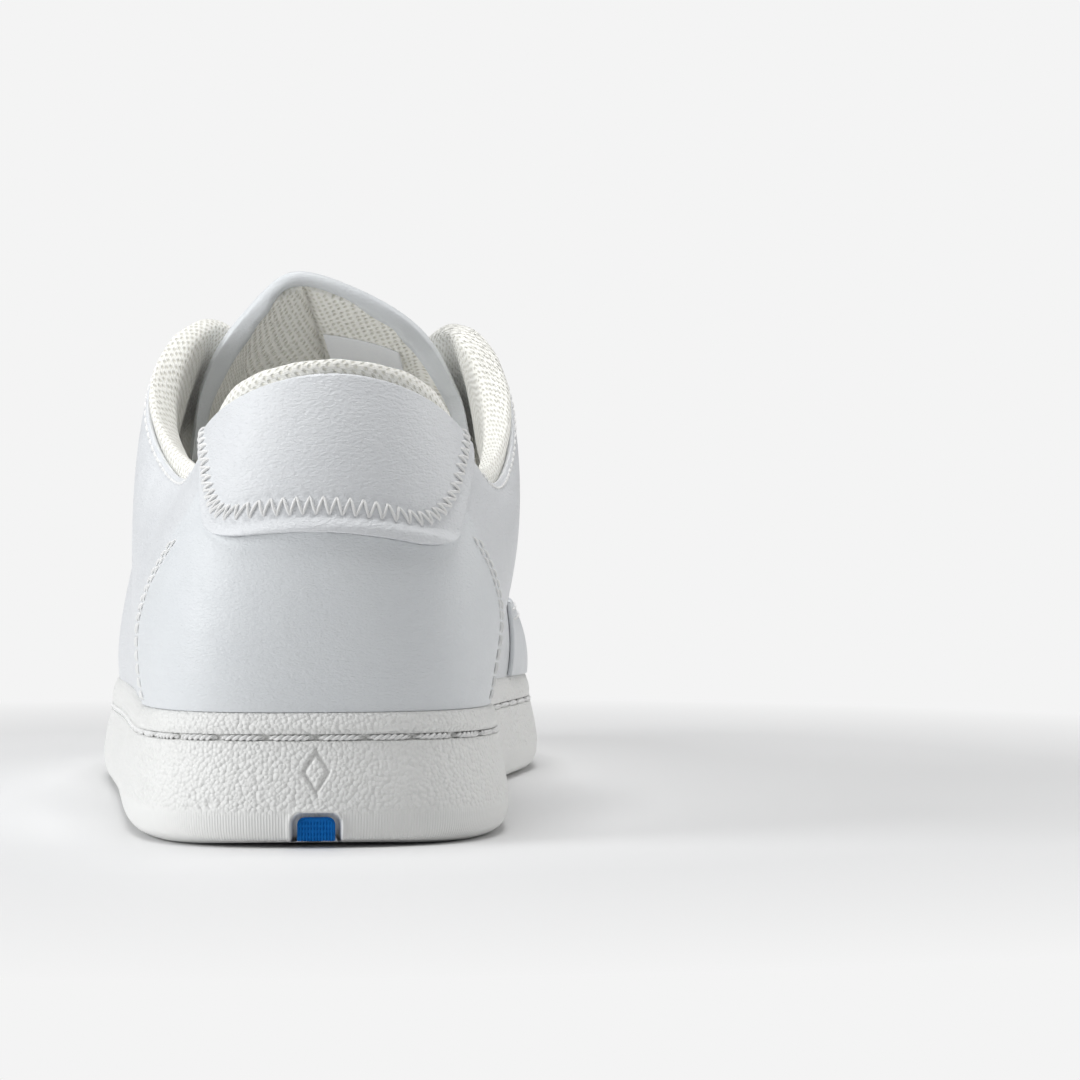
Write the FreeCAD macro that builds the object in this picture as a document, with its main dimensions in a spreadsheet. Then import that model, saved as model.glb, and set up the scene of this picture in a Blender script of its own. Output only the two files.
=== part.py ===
"""Left court shoe, EU 42, built from its separate pieces.

Frame in millimetres: +Y points to the toe, +X to the inner (medial) side and +Z up. The shoe is
drawn from the back of its heel, at y = 0, and every piece is then placed so that the origin is
the middle of the footprint, on the ground.
"""
import FreeCAD, Part
import math
import os

V = FreeCAD.Vector
doc = FreeCAD.newDocument("court_shoe")

# ---------------------------------------------------------------- driving dimensions
SIZES = (
    ("length_scale", 1.0, "length of the last over that of an EU 42"),
    ("girth_scale", 1.0, "width of the last over that of an EU 42"),
    ("rise_scale", 1.0, "height of the upper over that of an EU 42"),
    ("middle_side", 2.1, "middle of the footprint, from the line through the heel"),
    ("middle_along", 148.0, "middle of the footprint, from the back of the heel"),
    ("leather_thick", 1.3, "base leather of the upper"),
    ("overlay_thick", 1.1, "leather laid over the base leather"),
    ("tab_thick", 1.3, "heel tab"),
    ("stiffener_thick", 0.9, "heel counter and toe puff"),
    ("lining_thick", 0.8, "textile lining"),
    ("ply_gap", 0.15, "glue line between two plies"),
    ("collar_pad", 8.0, "padded collar, leather to foot"),
    ("tuck_lean", 0.15, "how fast the upper turns in below the lip of the cup"),
    ("cup_floor", 7.0, "rubber under the midsole"),
    ("heel_foam", 7.0, "midsole foam under the heel"),
    ("ball_foam", 5.0, "midsole foam under the ball of the foot"),
    ("board_thick", 1.5, "strobel board"),
    ("liner_thick", 3.6, "sockliner"),
    ("liner_gap", 0.35, "free space round and under the sockliner"),
    ("liner_split", 150.0, "crease that the sockliner peels up about, from the heel"),
    ("toe_spring", 8.0, "rise of the ground face at the toe"),
    ("spring_start", 205.0, "where the toe spring begins"),
    ("heel_bevel", 1.4, "rise of the ground face at the heel"),
    ("bevel_length", 16.0, "length of the heel bevel"),
    ("groove_width", 1.4, "stitch groove round the sidewall"),
    ("groove_depth", 1.6, "depth of the stitch groove"),
    ("thread_radius", 0.42, "sidewall thread"),
    ("thread_stitch", 8.6, "one visible stitch of the sidewall thread"),
    ("thread_pitch", 10.0, "stitch to stitch of the sidewall thread"),
    ("recess_width", 10.0, "recess for the heel plug"),
    ("recess_top", 6.9, "top of the recess, above the ground"),
    ("recess_depth", 3.0, "bottom of the recess, from the back of the heel"),
    ("recess_round", 2.2, "corner of the recess"),
    ("plug_width", 7.7, "heel plug"),
    ("plug_foot", 1.3, "bottom of the heel plug"),
    ("plug_top", 6.0, "top of the heel plug"),
    ("plug_thick", 1.8, "heel plug, front to back"),
    ("plug_round", 1.6, "corner of the heel plug"),
    ("shank_width", 24.0, "stiffening plate in the waist"),
    ("shank_length", 72.0, "stiffening plate in the waist"),
    ("shank_thick", 1.2, "stiffening plate in the waist"),
    ("shank_start", 78.0, "back end of the stiffening plate"),
    ("pivot_ring", 15.0, "radius of the pivot ring in the tread"),
    ("tread_groove", 1.1, "half width of the tread's grooves"),
    ("eyelet_radius", 2.5, "punched lace hole"),
    ("eyelet_inset", 8.0, "lace hole from the edge of the throat"),
    ("eyestay_width", 20.0, "reinforced band that holds the lace holes"),
    ("lace_width", 7.0, "flat lace"),
    ("lace_thick", 1.1, "flat lace"),
    ("aglet_radius", 1.0, "sleeve on the lace's end"),
    ("aglet_length", 16.0, "sleeve on the lace's end"),
)
sheet = doc.addObject("Spreadsheet::Sheet", "sizes")
for row, (alias, value, meaning) in enumerate(SIZES, start=1):
    sheet.set("A%d" % row, alias)
    sheet.set("B%d" % row, str(value))
    sheet.set("C%d" % row, meaning)
    sheet.setAlias("B%d" % row, alias)
doc.recompute()


def size(alias):
    """A driving dimension, as a number."""
    return float(sheet.get(alias))


# ---------------------------------------------------------------- curves through hand-set keys
def blend(p, q, a, b, t):
    """Cubic from p to q with end tangents a and b."""
    p_share = (1 + 2 * t) * (1 - t) ** 2
    a_share = t * (1 - t) ** 2
    q_share = t * t * (3 - 2 * t)
    b_share = t * t * (t - 1)
    return tuple(
        p_share * pc + a_share * ac + q_share * qc + b_share * bc
        for pc, qc, ac, bc in zip(p, q, a, b)
    )


def closed_curve(keys):
    """Smooth closed curve; the keys are evenly spaced in its parameter, which runs 0 to 1."""
    count = len(keys)
    slope = [[0.0] * len(keys[0]) for _ in keys]
    for _ in range(60):
        for i in range(count):
            before, after = keys[i - 1], keys[(i + 1) % count]
            beside = zip(before, after, slope[i - 1], slope[(i + 1) % count])
            slope[i] = [(3 * (q - p) - r - s) / 4 for p, q, r, s in beside]

    def at(u):
        step = (u % 1.0) * count
        i = int(step) % count
        j = (i + 1) % count
        return blend(keys[i], keys[j], slope[i], slope[j], step - int(step))

    return at


def open_curve(keys):
    """Smooth open curve; the keys are evenly spaced in its parameter, which runs 0 to 1."""
    last = len(keys) - 1
    slope = []
    for i in range(last + 1):
        before, after = keys[max(i - 1, 0)], keys[min(i + 1, last)]
        span = min(i + 1, last) - max(i - 1, 0)
        slope.append([(q - p) / span for p, q in zip(before, after)])

    def at(t):
        step = min(max(t, 0.0), 1.0) * last
        i = min(int(step), last - 1)
        return blend(keys[i], keys[i + 1], slope[i], slope[i + 1], step - i)

    return at


def graph(keys):
    """Function through (place, value) keys, straight between them and level past the ends."""
    def at(place):
        if place <= keys[0][0]:
            return keys[0][1]
        for (p0, v0), (p1, v1) in zip(keys, keys[1:]):
            if place <= p1:
                t = (place - p0) / (p1 - p0)
                return v0 + (v1 - v0) * t
        return keys[-1][1]

    return at


# ---------------------------------------------------------------- the last
# Sixteen stations round the foot, from the back of the heel up the medial side to the toe and
# back along the lateral side. SOLE is the widest outline of the rubber. At each station of the
# upper: the foot of the upper at the lip (x, y), how far its curve leans out and rises there,
# how far it leans out and falls at the top line, and the top line (x, y, z).
SOLE = (
    (0, 0), (30, 9.5), (41, 44), (39.5, 98), (43.5, 142), (52, 178), (56.6, 212), (45.5, 265),
    (12, 296), (-26.5, 273), (-46, 235), (-52.4, 190), (-50, 150), (-45.5, 105), (-41, 48),
    (-30, 9.5),
)
UPPER = (
    ((0, 5), (4, 20), (9, 21), (2, 12, 96)),
    ((26, 13), (4, 20), (8, 20), (26, 25, 88)),
    ((36.7, 45), (2, 16), (9, 10), (39, 62, 73.5)),
    ((35.5, 98), (7.5, 16), (4, 18), (45, 104, 92)),
    ((40, 142), (7.5, 22), (11, 16), (33, 128, 108)),
    ((48.5, 178), (4, 20), (17, 10), (19, 160, 88)),
    ((53, 212), (2.5, 20), (20, 6), (12, 194, 71)),
    ((42, 262), (3, 20), (32, 8), (7, 206, 66)),
    ((12, 290.5), (3, 20), (45, 8), (2.5, 209, 65)),
    ((-23, 268), (3, 20), (34, 8), (-2, 206, 66)),
    ((-41.5, 232), (3, 20), (18, 6), (-8, 196, 70)),
    ((-49, 190), (3, 20), (18, 10), (-14, 160, 88)),
    ((-46, 150), (1.5, 22), (12, 16), (-25, 128, 109)),
    ((-41.5, 105), (0.5, 20), (5, 18), (-38.5, 104, 93)),
    ((-37, 50), (2.5, 18), (10.5, 10), (-29, 64, 74.5)),
    ((-26, 13), (4, 20), (8, 20), (-20, 25, 87)),
)
STATIONS = len(UPPER)
girth = size("girth_scale")
stretch = size("length_scale")
rise = size("rise_scale")

sole_outline = closed_curve([(x * girth, y * stretch) for x, y in SOLE])
foot_outline = closed_curve([(foot[0] * girth, foot[1] * stretch) for foot, _, _, _ in UPPER])


def outward(outline, u):
    """Level unit vector out of a closed outline."""
    step = 0.001
    ahead, behind = outline(u + step), outline(u - step)
    dx, dy = ahead[0] - behind[0], ahead[1] - behind[1]
    run = math.hypot(dx, dy)
    return dy / run, -dx / run


def lip_height(y):
    """Top edge of the rubber sidewall."""
    waist = 210.0 * stretch
    if y < waist:
        return 27.0 - 3.0 * y / waist
    return 24.0 + 4.5 * ((y - waist) / (80.0 * stretch)) ** 2


def upper_controls():
    """The four control curves of the upper: foot, low handle, high handle and top line."""
    rings = ([], [], [], [])
    for k, (foot, low, high, top) in enumerate(UPPER):
        nx, ny = outward(foot_outline, k / STATIONS)
        x, y = foot[0] * girth, foot[1] * stretch
        tx, ty = top[0] * girth, top[1] * stretch
        lip = lip_height(y)
        crest = lip + (top[2] - lip) * rise
        rings[0].append((x, y, lip))
        rings[1].append((x + nx * low[0], y + ny * low[0], lip + low[1]))
        rings[2].append((tx + nx * high[0], ty + ny * high[0], crest - high[1]))
        rings[3].append((tx, ty, crest))
    return [closed_curve(keys) for keys in rings]


CONTROLS = upper_controls()
TUCK_RATE = 60.0          # millimetres of upper below the lip for each whole step of v
tuck_lean = size("tuck_lean")


def skin(u, v):
    """Outer face of the upper: u runs round the shoe, v from the lip (0) to the top line (1)."""
    foot, low, high, top = (curve(u) for curve in CONTROLS)
    if v < 0:
        nx, ny = outward(foot_outline, u)
        depth = -v * TUCK_RATE
        tuck = depth * tuck_lean
        return foot[0] - nx * tuck, foot[1] - ny * tuck, foot[2] - depth
    if v > 1:
        return tuple(t + 3 * (v - 1) * (t - h) for t, h in zip(top, high))
    shares = ((1 - v) ** 3, 3 * v * (1 - v) ** 2, 3 * v * v * (1 - v), v ** 3)
    return tuple(
        sum(share * point[axis] for share, point in zip(shares, (foot, low, high, top)))
        for axis in range(3)
    )


def offset(face, a, b, lift, step=0.002):
    """A point of a face moved along its normal."""
    ahead, behind = face(a + step, b), face(a - step, b)
    above, below = face(a, b + step), face(a, b - step)
    ax, ay, az = (p - q for p, q in zip(ahead, behind))
    bx, by, bz = (p - q for p, q in zip(above, below))
    nx, ny, nz = ay * bz - az * by, az * bx - ax * bz, ax * by - ay * bx
    run = math.sqrt(nx * nx + ny * ny + nz * nz)
    x, y, z = face(a, b)
    return x + lift * nx / run, y + lift * ny / run, z + lift * nz / run


def down_from_top(u, distance):
    """The v that lies a distance down the skin from the top line."""
    v, gone, here = 1.0, 0.0, skin(u, 1.0)
    while gone < distance and v > 0:
        v -= 0.01
        there = skin(u, v)
        gone += math.dist(here, there)
        here = there
    return v + 0.01 * (gone - distance) / max(math.dist(skin(u, v + 0.01), here), 0.01)


# ---------------------------------------------------------------- levels inside the cup
TOE = 296.0               # front end of the rubber


def toe_rise(y):
    """Rise of the ground face towards the toe."""
    start = size("spring_start")
    if y <= start * stretch:
        return 0.0
    return size("toe_spring") * ((y / stretch - start) / (TOE - start)) ** 2


def ground_face(y):
    """Underside of the rubber."""
    bevel = size("bevel_length")
    if y < bevel:
        return size("heel_bevel") * ((bevel - y) / bevel) ** 2
    return toe_rise(y)


def cup_level(y):
    """Top of the rubber inside the cup."""
    return size("cup_floor") + 0.8 * toe_rise(y)


def foam_level(y):
    """Top of the midsole foam."""
    share = min(max(y / (200.0 * stretch), 0.0), 1.0)
    return cup_level(y) + size("heel_foam") + (size("ball_foam") - size("heel_foam")) * share


def board_level(y):
    """Top of the strobel board."""
    return foam_level(y) + size("board_thick")


def liner_level(y):
    """Underside of the sockliner."""
    return board_level(y) + size("liner_gap")


def liner_top(y):
    """Top of the sockliner."""
    return liner_level(y) + size("liner_thick")


def tuck_end(u):
    """The v where the upper ends, on the midsole foam."""
    y = foot_outline(u)[1]
    return -(lip_height(y) - foam_level(y) - size("ply_gap")) / TUCK_RATE


# ---------------------------------------------------------------- solids from faces
def spline_face(points):
    """Smooth surface through a grid of points."""
    surface = Part.BSplineSurface()
    surface.interpolate([[V(*p) for p in row] for row in points])
    return surface


def panel(outer, inner):
    """Solid between two grids of points of the same shape."""
    faces = [spline_face(outer), spline_face(inner)]
    walls = []
    for side in range(4):
        rims = []
        for surface in faces:
            u0, u1, v0, v1 = surface.bounds()
            iso = (surface.uIso(u0), surface.uIso(u1), surface.vIso(v0), surface.vIso(v1))
            rims.append(iso[side].toShape())
        walls.append(Part.makeRuledSurface(*rims))
    shell = Part.makeShell([f.toShape() for f in faces] + walls)
    shell.sewShape()
    solid = Part.makeSolid(Part.Shell(shell.Faces))
    if solid.Volume < 0:
        solid.reverse()
    return solid


def sheet_of(face, place, across, along, top, bottom):
    """Solid ply on a face: place(s, t) gives the face's parameters, s and t run 0 to 1."""
    grids = []
    for lift in (top, bottom):
        grid = []
        for i in range(across + 1):
            row = []
            for j in range(along + 1):
                a, b = place(i / across, j / along)
                row.append(offset(face, a, b, lift))
            grid.append(row)
        grids.append(grid)
    return panel(*grids)


PIECES = []               # every finished sub-part, in the order it was made


def finish(item, name):
    """Name a finished sub-part."""
    item.Label = name
    PIECES.append(item)
    return item


def feature(name, shape):
    """Add a finished shape to the document."""
    item = doc.addObject("Part::Feature", name)
    item.Shape = shape
    return item


# ---------------------------------------------------------------- rubber cupsole
SIDEWALL = graph((
    (0, 5.0), (1.0, 2.6), (2.5, 1.0), (4.5, 0.25), (7.0, 0.0), (10, 0.35), (14, 1.1), (18, 2.0),
    (22, 2.6), (26, 3.0), (30, 3.1),
))


def sidewall(u, z):
    """Outer face of the rubber at a height above the ground."""
    x, y = sole_outline(u)
    nx, ny = outward(sole_outline, u)
    toe_share = min(max((y / stretch - 220.0) / 60.0, 0.0), 1.0)
    inset = SIDEWALL(z - toe_rise(y)) * (1 + 0.8 * toe_share)
    return x - nx * inset, y - ny * inset, z


def ring_wire(points):
    """Smooth closed wire through points."""
    curve = Part.BSplineCurve()
    curve.interpolate([V(*p) for p in points], PeriodicFlag=True)
    return Part.Wire([curve.toShape()])


def well(clearance):
    """Tapered block inside the cup, a clearance in from the outer face of the tucked upper."""
    wires = []
    for z in (4.0, 44.0):
        points = []
        for k in range(64):
            u = k / 64
            x, y = foot_outline(u)
            nx, ny = outward(foot_outline, u)
            inset = clearance + tuck_lean * (lip_height(y) - z)
            points.append((x - nx * inset, y - ny * inset, z))
        wires.append(ring_wire(points))
    return Part.makeLoft(wires, True, True)


def profile_edge(level, y0, y1):
    """Edge in the plane x = 0 that follows a level: straight where it is straight."""
    places = [y0 + (y1 - y0) * k / 8 for k in range(9)]
    points = [V(0, y, level(y)) for y in places]
    bow = abs(level(places[4]) - (level(y0) + level(y1)) / 2)
    if bow < 0.001:
        return Part.LineSegment(points[0], points[-1]).toShape()
    curve = Part.BSplineCurve()
    curve.interpolate(points)
    return curve.toShape()


def slab(bottom, top, back=-12.0, front=312.0):
    """Block between two levels that change along the shoe, wider than the shoe."""
    breaks = [size("bevel_length"), 200.0 * stretch, size("spring_start") * stretch,
              210.0 * stretch]
    stops = [back] + [y for y in breaks if back < y < front] + [front]
    edges = []
    for level in (bottom, top):
        edges += [profile_edge(level, a, b) for a, b in zip(stops, stops[1:])]
    for y in (back, front):
        edges.append(Part.LineSegment(V(0, y, bottom(y)), V(0, y, top(y))).toShape())
    face = Part.Face(Part.Wire(Part.__sortEdges__(edges)))
    face.translate(V(-80, 0, 0))
    return face.extrude(V(160, 0, 0))


def sidewall_block(inset=0.0):
    """Solid inside the rubber's outer face, before its ground face and top edge are cut."""
    wires = []
    for z in (-1.0, 1.0, 3.0, 5.0, 7.5, 11.0, 15.0, 19.0, 23.0, 27.0, 32.0):
        points = []
        for k in range(72):
            x, y, _ = sidewall(k / 72, z)
            nx, ny = outward(sole_outline, k / 72)
            points.append((x - nx * inset, y - ny * inset, z))
        wires.append(ring_wire(points))
    return Part.makeLoft(wires, True, False)


def groove_level(y):
    """Middle of the stitch groove."""
    drop = 5.0 + 1.5 * min(max(y / (150.0 * stretch), 0.0), 1.0)
    return lip_height(y) - drop


def groove_cutter():
    """Band all round the shoe that reaches in to the bottom of the stitch groove."""
    half = size("groove_width") / 2
    band = slab(lambda y: groove_level(y) - half, lambda y: groove_level(y) + half)
    return band.cut(sidewall_block(size("groove_depth")))


def box(name, width, length, height, corner):
    """Box whose sides and corner are expressions on the sheet."""
    item = doc.addObject("Part::Box", name)
    for prop, text in zip(("Length", "Width", "Height"), (width, length, height)):
        item.setExpression(prop, text)
    for axis, text in zip("xyz", corner):
        item.setExpression(".Placement.Base." + axis, text)
    return item


def rounded(source, name, edge_test, radius):
    """Fillet on the edges that pass a test."""
    doc.recompute()
    picked = [i for i, edge in enumerate(source.Shape.Edges, start=1) if edge_test(edge)]
    item = doc.addObject("Part::Fillet", name)
    item.Base = source
    item.Edges = [(i, radius, radius) for i in picked]
    return item


def boolean(kind, name, base, tool):
    """Part feature of a kind that combines two others."""
    item = doc.addObject("Part::" + kind, name)
    item.Base = base
    item.Tool = tool
    return item


def cut(name, base, tool):
    return boolean("Cut", name, base, tool)


def common(name, base, tool):
    return boolean("Common", name, base, tool)


def upper_end_along_y(edge):
    """True for the edges along Y at the top of a box."""
    a, b = (vertex.Point for vertex in edge.Vertexes)
    return abs(a.z - b.z) < 0.01 and abs(a.x - b.x) < 0.01 and a.z > 4.0


PIVOT_CENTRE = V(4, 184, 0)                 # under the ball of the foot
FLEX_GROOVES = (100.0, 124.0, 148.0)        # y of each groove across the waist
GROOVE_REACH = 70.0                         # half the length of a flex groove


def cup_cutters():
    """Everything that is cut from the rubber: well, groove, plug recess and tread grooves."""
    recess = rounded(
        box("recess_box", "sizes.recess_width", "sizes.recess_depth + 6", "sizes.recess_top + 4",
            ("-sizes.recess_width / 2", "-6", "-4")),
        "recess", upper_end_along_y, size("recess_round"))
    ring = doc.addObject("Part::Torus", "pivot_groove")
    ring.setExpression("Radius1", "sizes.pivot_ring")
    ring.setExpression("Radius2", "sizes.tread_groove")
    ring.Placement.Base = PIVOT_CENTRE
    tools = [
        feature("cup_well", well(-size("ply_gap") - 0.05).common(slab(cup_level, lambda y: 60.0))),
        feature("stitch_groove", groove_cutter()),
        recess,
        ring,
    ]
    for k, y in enumerate(FLEX_GROOVES):
        groove = doc.addObject("Part::Cylinder", "flex_groove_%d" % k)
        groove.setExpression("Radius", "sizes.tread_groove")
        groove.Height = 2 * GROOVE_REACH
        groove.Placement = FreeCAD.Placement(
            V(-GROOVE_REACH, y, 0), FreeCAD.Rotation(V(0, 1, 0), 90))
        tools.append(groove)
    return tools


def make_cupsole():
    """Rubber cup that the upper is glued and stitched into."""
    body = common(
        "cup_blank",
        feature("cup_sides", sidewall_block()),
        feature("cup_profile", slab(ground_face, lip_height)))
    for k, tool in enumerate(cup_cutters()):
        body = cut("cup_cut_%d" % k, body, tool)
    return finish(body, "cupsole")


def make_heel_plug():
    """Coloured insert in the back of the heel."""
    block = box("plug_box", "sizes.plug_width", "sizes.plug_thick",
                "sizes.plug_top - sizes.plug_foot",
                ("-sizes.plug_width / 2", "sizes.recess_depth - sizes.plug_thick - sizes.ply_gap",
                 "sizes.plug_foot"))
    plug = rounded(block, "heel_plug", upper_end_along_y, size("plug_round"))
    return finish(plug, "heel_plug")


def make_sidewall_stitching():
    """Straight stitches of thick thread, end to end in the groove."""
    length = size("thread_stitch")
    sink = size("thread_radius") + 0.03
    samples = 1500
    path = []
    for k in range(samples + 1):
        u = k / samples
        x, y, _ = sidewall(u, groove_level(sole_outline(u)[1]))
        nx, ny = outward(sole_outline, u)
        y -= ny * sink
        path.append(V(x - nx * sink, y, groove_level(y)))
    stitches, gone, last = [], 0.0, -size("thread_pitch")
    start = None
    for p, q in zip(path, path[1:]):
        gone += (q - p).Length
        if start is None and gone - last >= size("thread_pitch"):
            start, last = q, gone
        elif start is not None and (q - start).Length >= length:
            run = q - start
            stitches.append(Part.makeCylinder(size("thread_radius"), run.Length, start, run))
            start = None
    return finish(feature("sidewall_stitching", Part.makeCompound(stitches)), "sidewall_stitching")


def make_midsole():
    """Foam that fills the cup, with the shank let into its underside."""
    foam = feature("foam_block", well(-0.05).common(
        slab(lambda y: cup_level(y) + size("ply_gap"), foam_level)))
    pocket = box("shank_pocket", "sizes.shank_width + 0.4", "sizes.shank_length + 0.4",
                 "sizes.shank_thick + 0.3",
                 ("-sizes.shank_width / 2 - 2.2", "sizes.shank_start - 0.2", "sizes.cup_floor"))
    finish(cut("midsole_foam", foam, pocket), "midsole_foam")
    shank = box("shank_plate", "sizes.shank_width", "sizes.shank_length", "sizes.shank_thick",
                ("-sizes.shank_width / 2 - 2", "sizes.shank_start", "sizes.cup_floor + 0.1"))
    finish(rounded(shank, "midfoot_shank", upright, 8.0), "midfoot_shank")


def upright(edge):
    """True for the edges along Z."""
    a, b = (vertex.Point for vertex in edge.Vertexes)
    return abs(a.z - b.z) > 0.5


BOARD_GAP = 0.45          # board's edge to the lining round it
LINER_SIDE_GAP = 0.7      # how much further in the sockliner's edge lies
CREASE_GAP = 0.5          # between the two halves of the sockliner


def make_board_and_liner():
    """Strobel board and, on it, the sockliner, creased across the arch into two."""
    plies = size("leather_thick") + size("stiffener_thick") + size("lining_thick")
    inside = plies + 5 * size("ply_gap") + BOARD_GAP
    board = well(inside).common(
        slab(lambda y: foam_level(y) + size("ply_gap"), board_level))
    finish(feature("strobel_board", board), "strobel_board")
    block = well(inside + LINER_SIDE_GAP)
    crease = size("liner_split")
    heel = block.common(slab(liner_level, liner_top, front=crease - CREASE_GAP / 2))
    finish(feature("sockliner_heel", heel), "sockliner_heel")
    forefoot = block.common(slab(liner_level, liner_top, back=crease + CREASE_GAP / 2))
    finish(feature("sockliner_forefoot", forefoot), "sockliner_forefoot")


# ---------------------------------------------------------------- plies of the upper
def ply(depth, thick):
    """Top and bottom of a ply whose outer face lies at a depth below the skin."""
    return -depth, -depth - thick


BASE_DEPTH = 0.3
base_ply = ply(BASE_DEPTH, size("leather_thick"))
overlay_ply = (size("overlay_thick") - BASE_DEPTH + size("ply_gap"), size("ply_gap") - BASE_DEPTH)
tab_foot = overlay_ply[0] + size("ply_gap")
tab_ply = (tab_foot + size("tab_thick"), tab_foot)
stiffener_ply = ply(-base_ply[1] + size("ply_gap"), size("stiffener_thick"))
lining_ply = ply(-stiffener_ply[1] + size("ply_gap"), size("lining_thick"))

LIP_EDGE = 0.005          # v just above the lip, where the overlays end
# Place of the seam between quarter and vamp, along u, at each height v.
seam = graph(((-0.3, 0.335), (0.0, 0.335), (0.3, 0.352), (0.6, 0.39), (0.8, 0.42), (1.0, 0.45)))


def between(low, high, t):
    """Value a share t of the way from low to high."""
    return low + (high - low) * t


def make_quarter(name, side):
    """One side of the upper, from the heel seam to the vamp seam."""
    def place(s, t):
        v = between(tuck_end(side * s * 0.335), 1.0, t)
        return side * between(0.0008, seam(v), s), v

    shape = sheet_of(skin, place, 56, 18, *base_ply)
    return feature(name + "_blank", shape)


def make_vamp():
    """Toe and forefoot leather between the two vamp seams."""
    def place(s, t):
        v = between(tuck_end(between(0.337, 0.663, s)), 1.0, t)
        start = seam(v) + 0.0015
        return between(start, 1 - start, s), v

    return feature("vamp_blank", sheet_of(skin, place, 44, 18, *base_ply))


def make_vamp_lining():
    """Lining of the forefoot and the throat, up to the padded collar."""
    def place(s, t):
        u = between(0.262, 0.738, s)
        return u, between(tuck_end(u), 0.995, t)

    return feature("lining_blank", sheet_of(skin, place, 60, 18, *lining_ply))


def make_eyestay():
    """U-shaped band along the throat that carries the lace holes."""
    def place(s, t):
        u = between(0.24, 0.76, s)
        return u, between(down_from_top(u, size("eyestay_width")), 1.0, t)

    return feature("eyestay_blank", sheet_of(skin, place, 60, 8, *overlay_ply))


# Height v of the toe overlay's top edge, along u.
toe_overlay_top = graph(((0.30, 0.26), (0.36, 0.31), (0.44, 0.35), (0.50, 0.37), (0.56, 0.35),
                         (0.64, 0.31), (0.70, 0.26)))


def make_toe_overlay():
    """Bumper of leather round the toe."""
    def place(s, t):
        u = between(0.305, 0.672, s)
        return u, between(LIP_EDGE, toe_overlay_top(u), t)

    finish(feature("toe_overlay", sheet_of(skin, place, 48, 10, *overlay_ply)), "toe_overlay")


# Half width of the heel panel, along u, at each height v.
heel_edge = graph(((-0.3, 0.112), (0.0, 0.113), (0.1, 0.1165), (0.2, 0.1165), (0.3, 0.1135),
                   (0.4, 0.1045), (0.5, 0.0925), (0.6, 0.077), (0.7, 0.064), (0.8, 0.056)))
TAB_FOOT = 0.54           # v of the heel tab's lower edge


def make_heel_panel():
    """Backstay over the heel seam; its top runs under the heel tab."""
    def place(s, t):
        v = between(LIP_EDGE, 0.78, t)
        return between(-heel_edge(v), heel_edge(v), s), v

    finish(feature("heel_panel", sheet_of(skin, place, 28, 18, *overlay_ply)), "heel_panel")


# Half widths of the heel tab, along u, at each height v.
tab_lateral = graph(((0.5, 0.047), (0.56, 0.050), (0.6, 0.052), (0.7, 0.057), (0.81, 0.062),
                     (0.9, 0.069), (1.0, 0.078)))
tab_medial = graph(((0.5, 0.058), (0.56, 0.060), (0.65, 0.064), (0.75, 0.069), (0.9, 0.078),
                    (1.0, 0.084)))
TAB_CORNER = 0.07         # v over which the tab's lower corners turn
TAB_PINCH = 0.020         # u that the tab loses at its foot, on each side


def make_heel_tab():
    """Leather patch on the back of the collar, with two round lower corners."""
    def place(s, t):
        v = between(TAB_FOOT, 1.0, t ** 1.6)
        turn = max(0.0, 1 - (v - TAB_FOOT) / TAB_CORNER)
        pinch = TAB_PINCH * (1 - math.sqrt(max(0.0, 1 - turn * turn)))
        return between(-tab_lateral(v) + pinch, tab_medial(v) - pinch, s), v

    finish(feature("heel_tab", sheet_of(skin, place, 24, 22, *tab_ply)), "heel_tab")


TAB_STITCHES = 84
TAB_THREAD = 0.3          # radius of the zigzag's thread
STITCH_END = 0.08         # share of a zigzag that is left out at each end


def make_tab_stitching():
    """Zigzag thread round the sides and foot of the heel tab."""
    lift = tab_ply[0] + TAB_THREAD + 0.1
    route = open_curve((
        (-0.073, 0.99), (-0.060, 0.86), (-0.052, 0.74), (-0.043, 0.66), (-0.022, 0.645),
        (0.0, 0.64), (0.022, 0.64), (0.043, 0.645), (0.056, 0.72), (0.066, 0.85), (0.077, 0.99),
    ))
    across = open_curve((
        (-0.006, 0.0), (-0.006, 0.0), (-0.006, 0.0), (-0.005, -0.035), (0.0, -0.05),
        (0.0, -0.05), (0.0, -0.05), (0.005, -0.035), (0.006, 0.0), (0.006, 0.0), (0.006, 0.0),
    ))
    corners = []
    for k in range(TAB_STITCHES + 1):
        t = k / TAB_STITCHES
        swing = 0.5 if k % 2 else -0.5
        (u, v), (du, dv) = route(t), across(t)
        corners.append(V(*offset(skin, u + swing * du, v + swing * dv, lift)))
    stitches = []
    for p, q in zip(corners, corners[1:]):
        run = q - p
        start = p + run * STITCH_END
        length = run.Length * (1 - 2 * STITCH_END)
        stitches.append(Part.makeCylinder(TAB_THREAD, length, start, run))
    finish(feature("heel_tab_stitching", Part.makeCompound(stitches)), "heel_tab_stitching")


def make_stiffeners():
    """Heel counter and toe puff, sealed between leather and lining."""
    def counter(s, t):
        u = between(-0.12, 0.12, s)
        return u, between(tuck_end(u), 0.46, t)

    def puff(s, t):
        u = between(0.40, 0.60, s)
        return u, between(tuck_end(u), 0.36, t)

    for name, place in (("heel_counter", counter), ("toe_puff", puff)):
        finish(feature(name, sheet_of(skin, place, 28, 12, *stiffener_ply)), name)


# ---------------------------------------------------------------- padded collar
# Share of the full padding that is left, along u on each side.
pad_depth = graph(((0.0, 1.0), (0.19, 1.0), (0.225, 0.85), (0.25, 0.55), (0.262, 0.48)))
LINING_FACE = -lining_ply[1]


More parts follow.
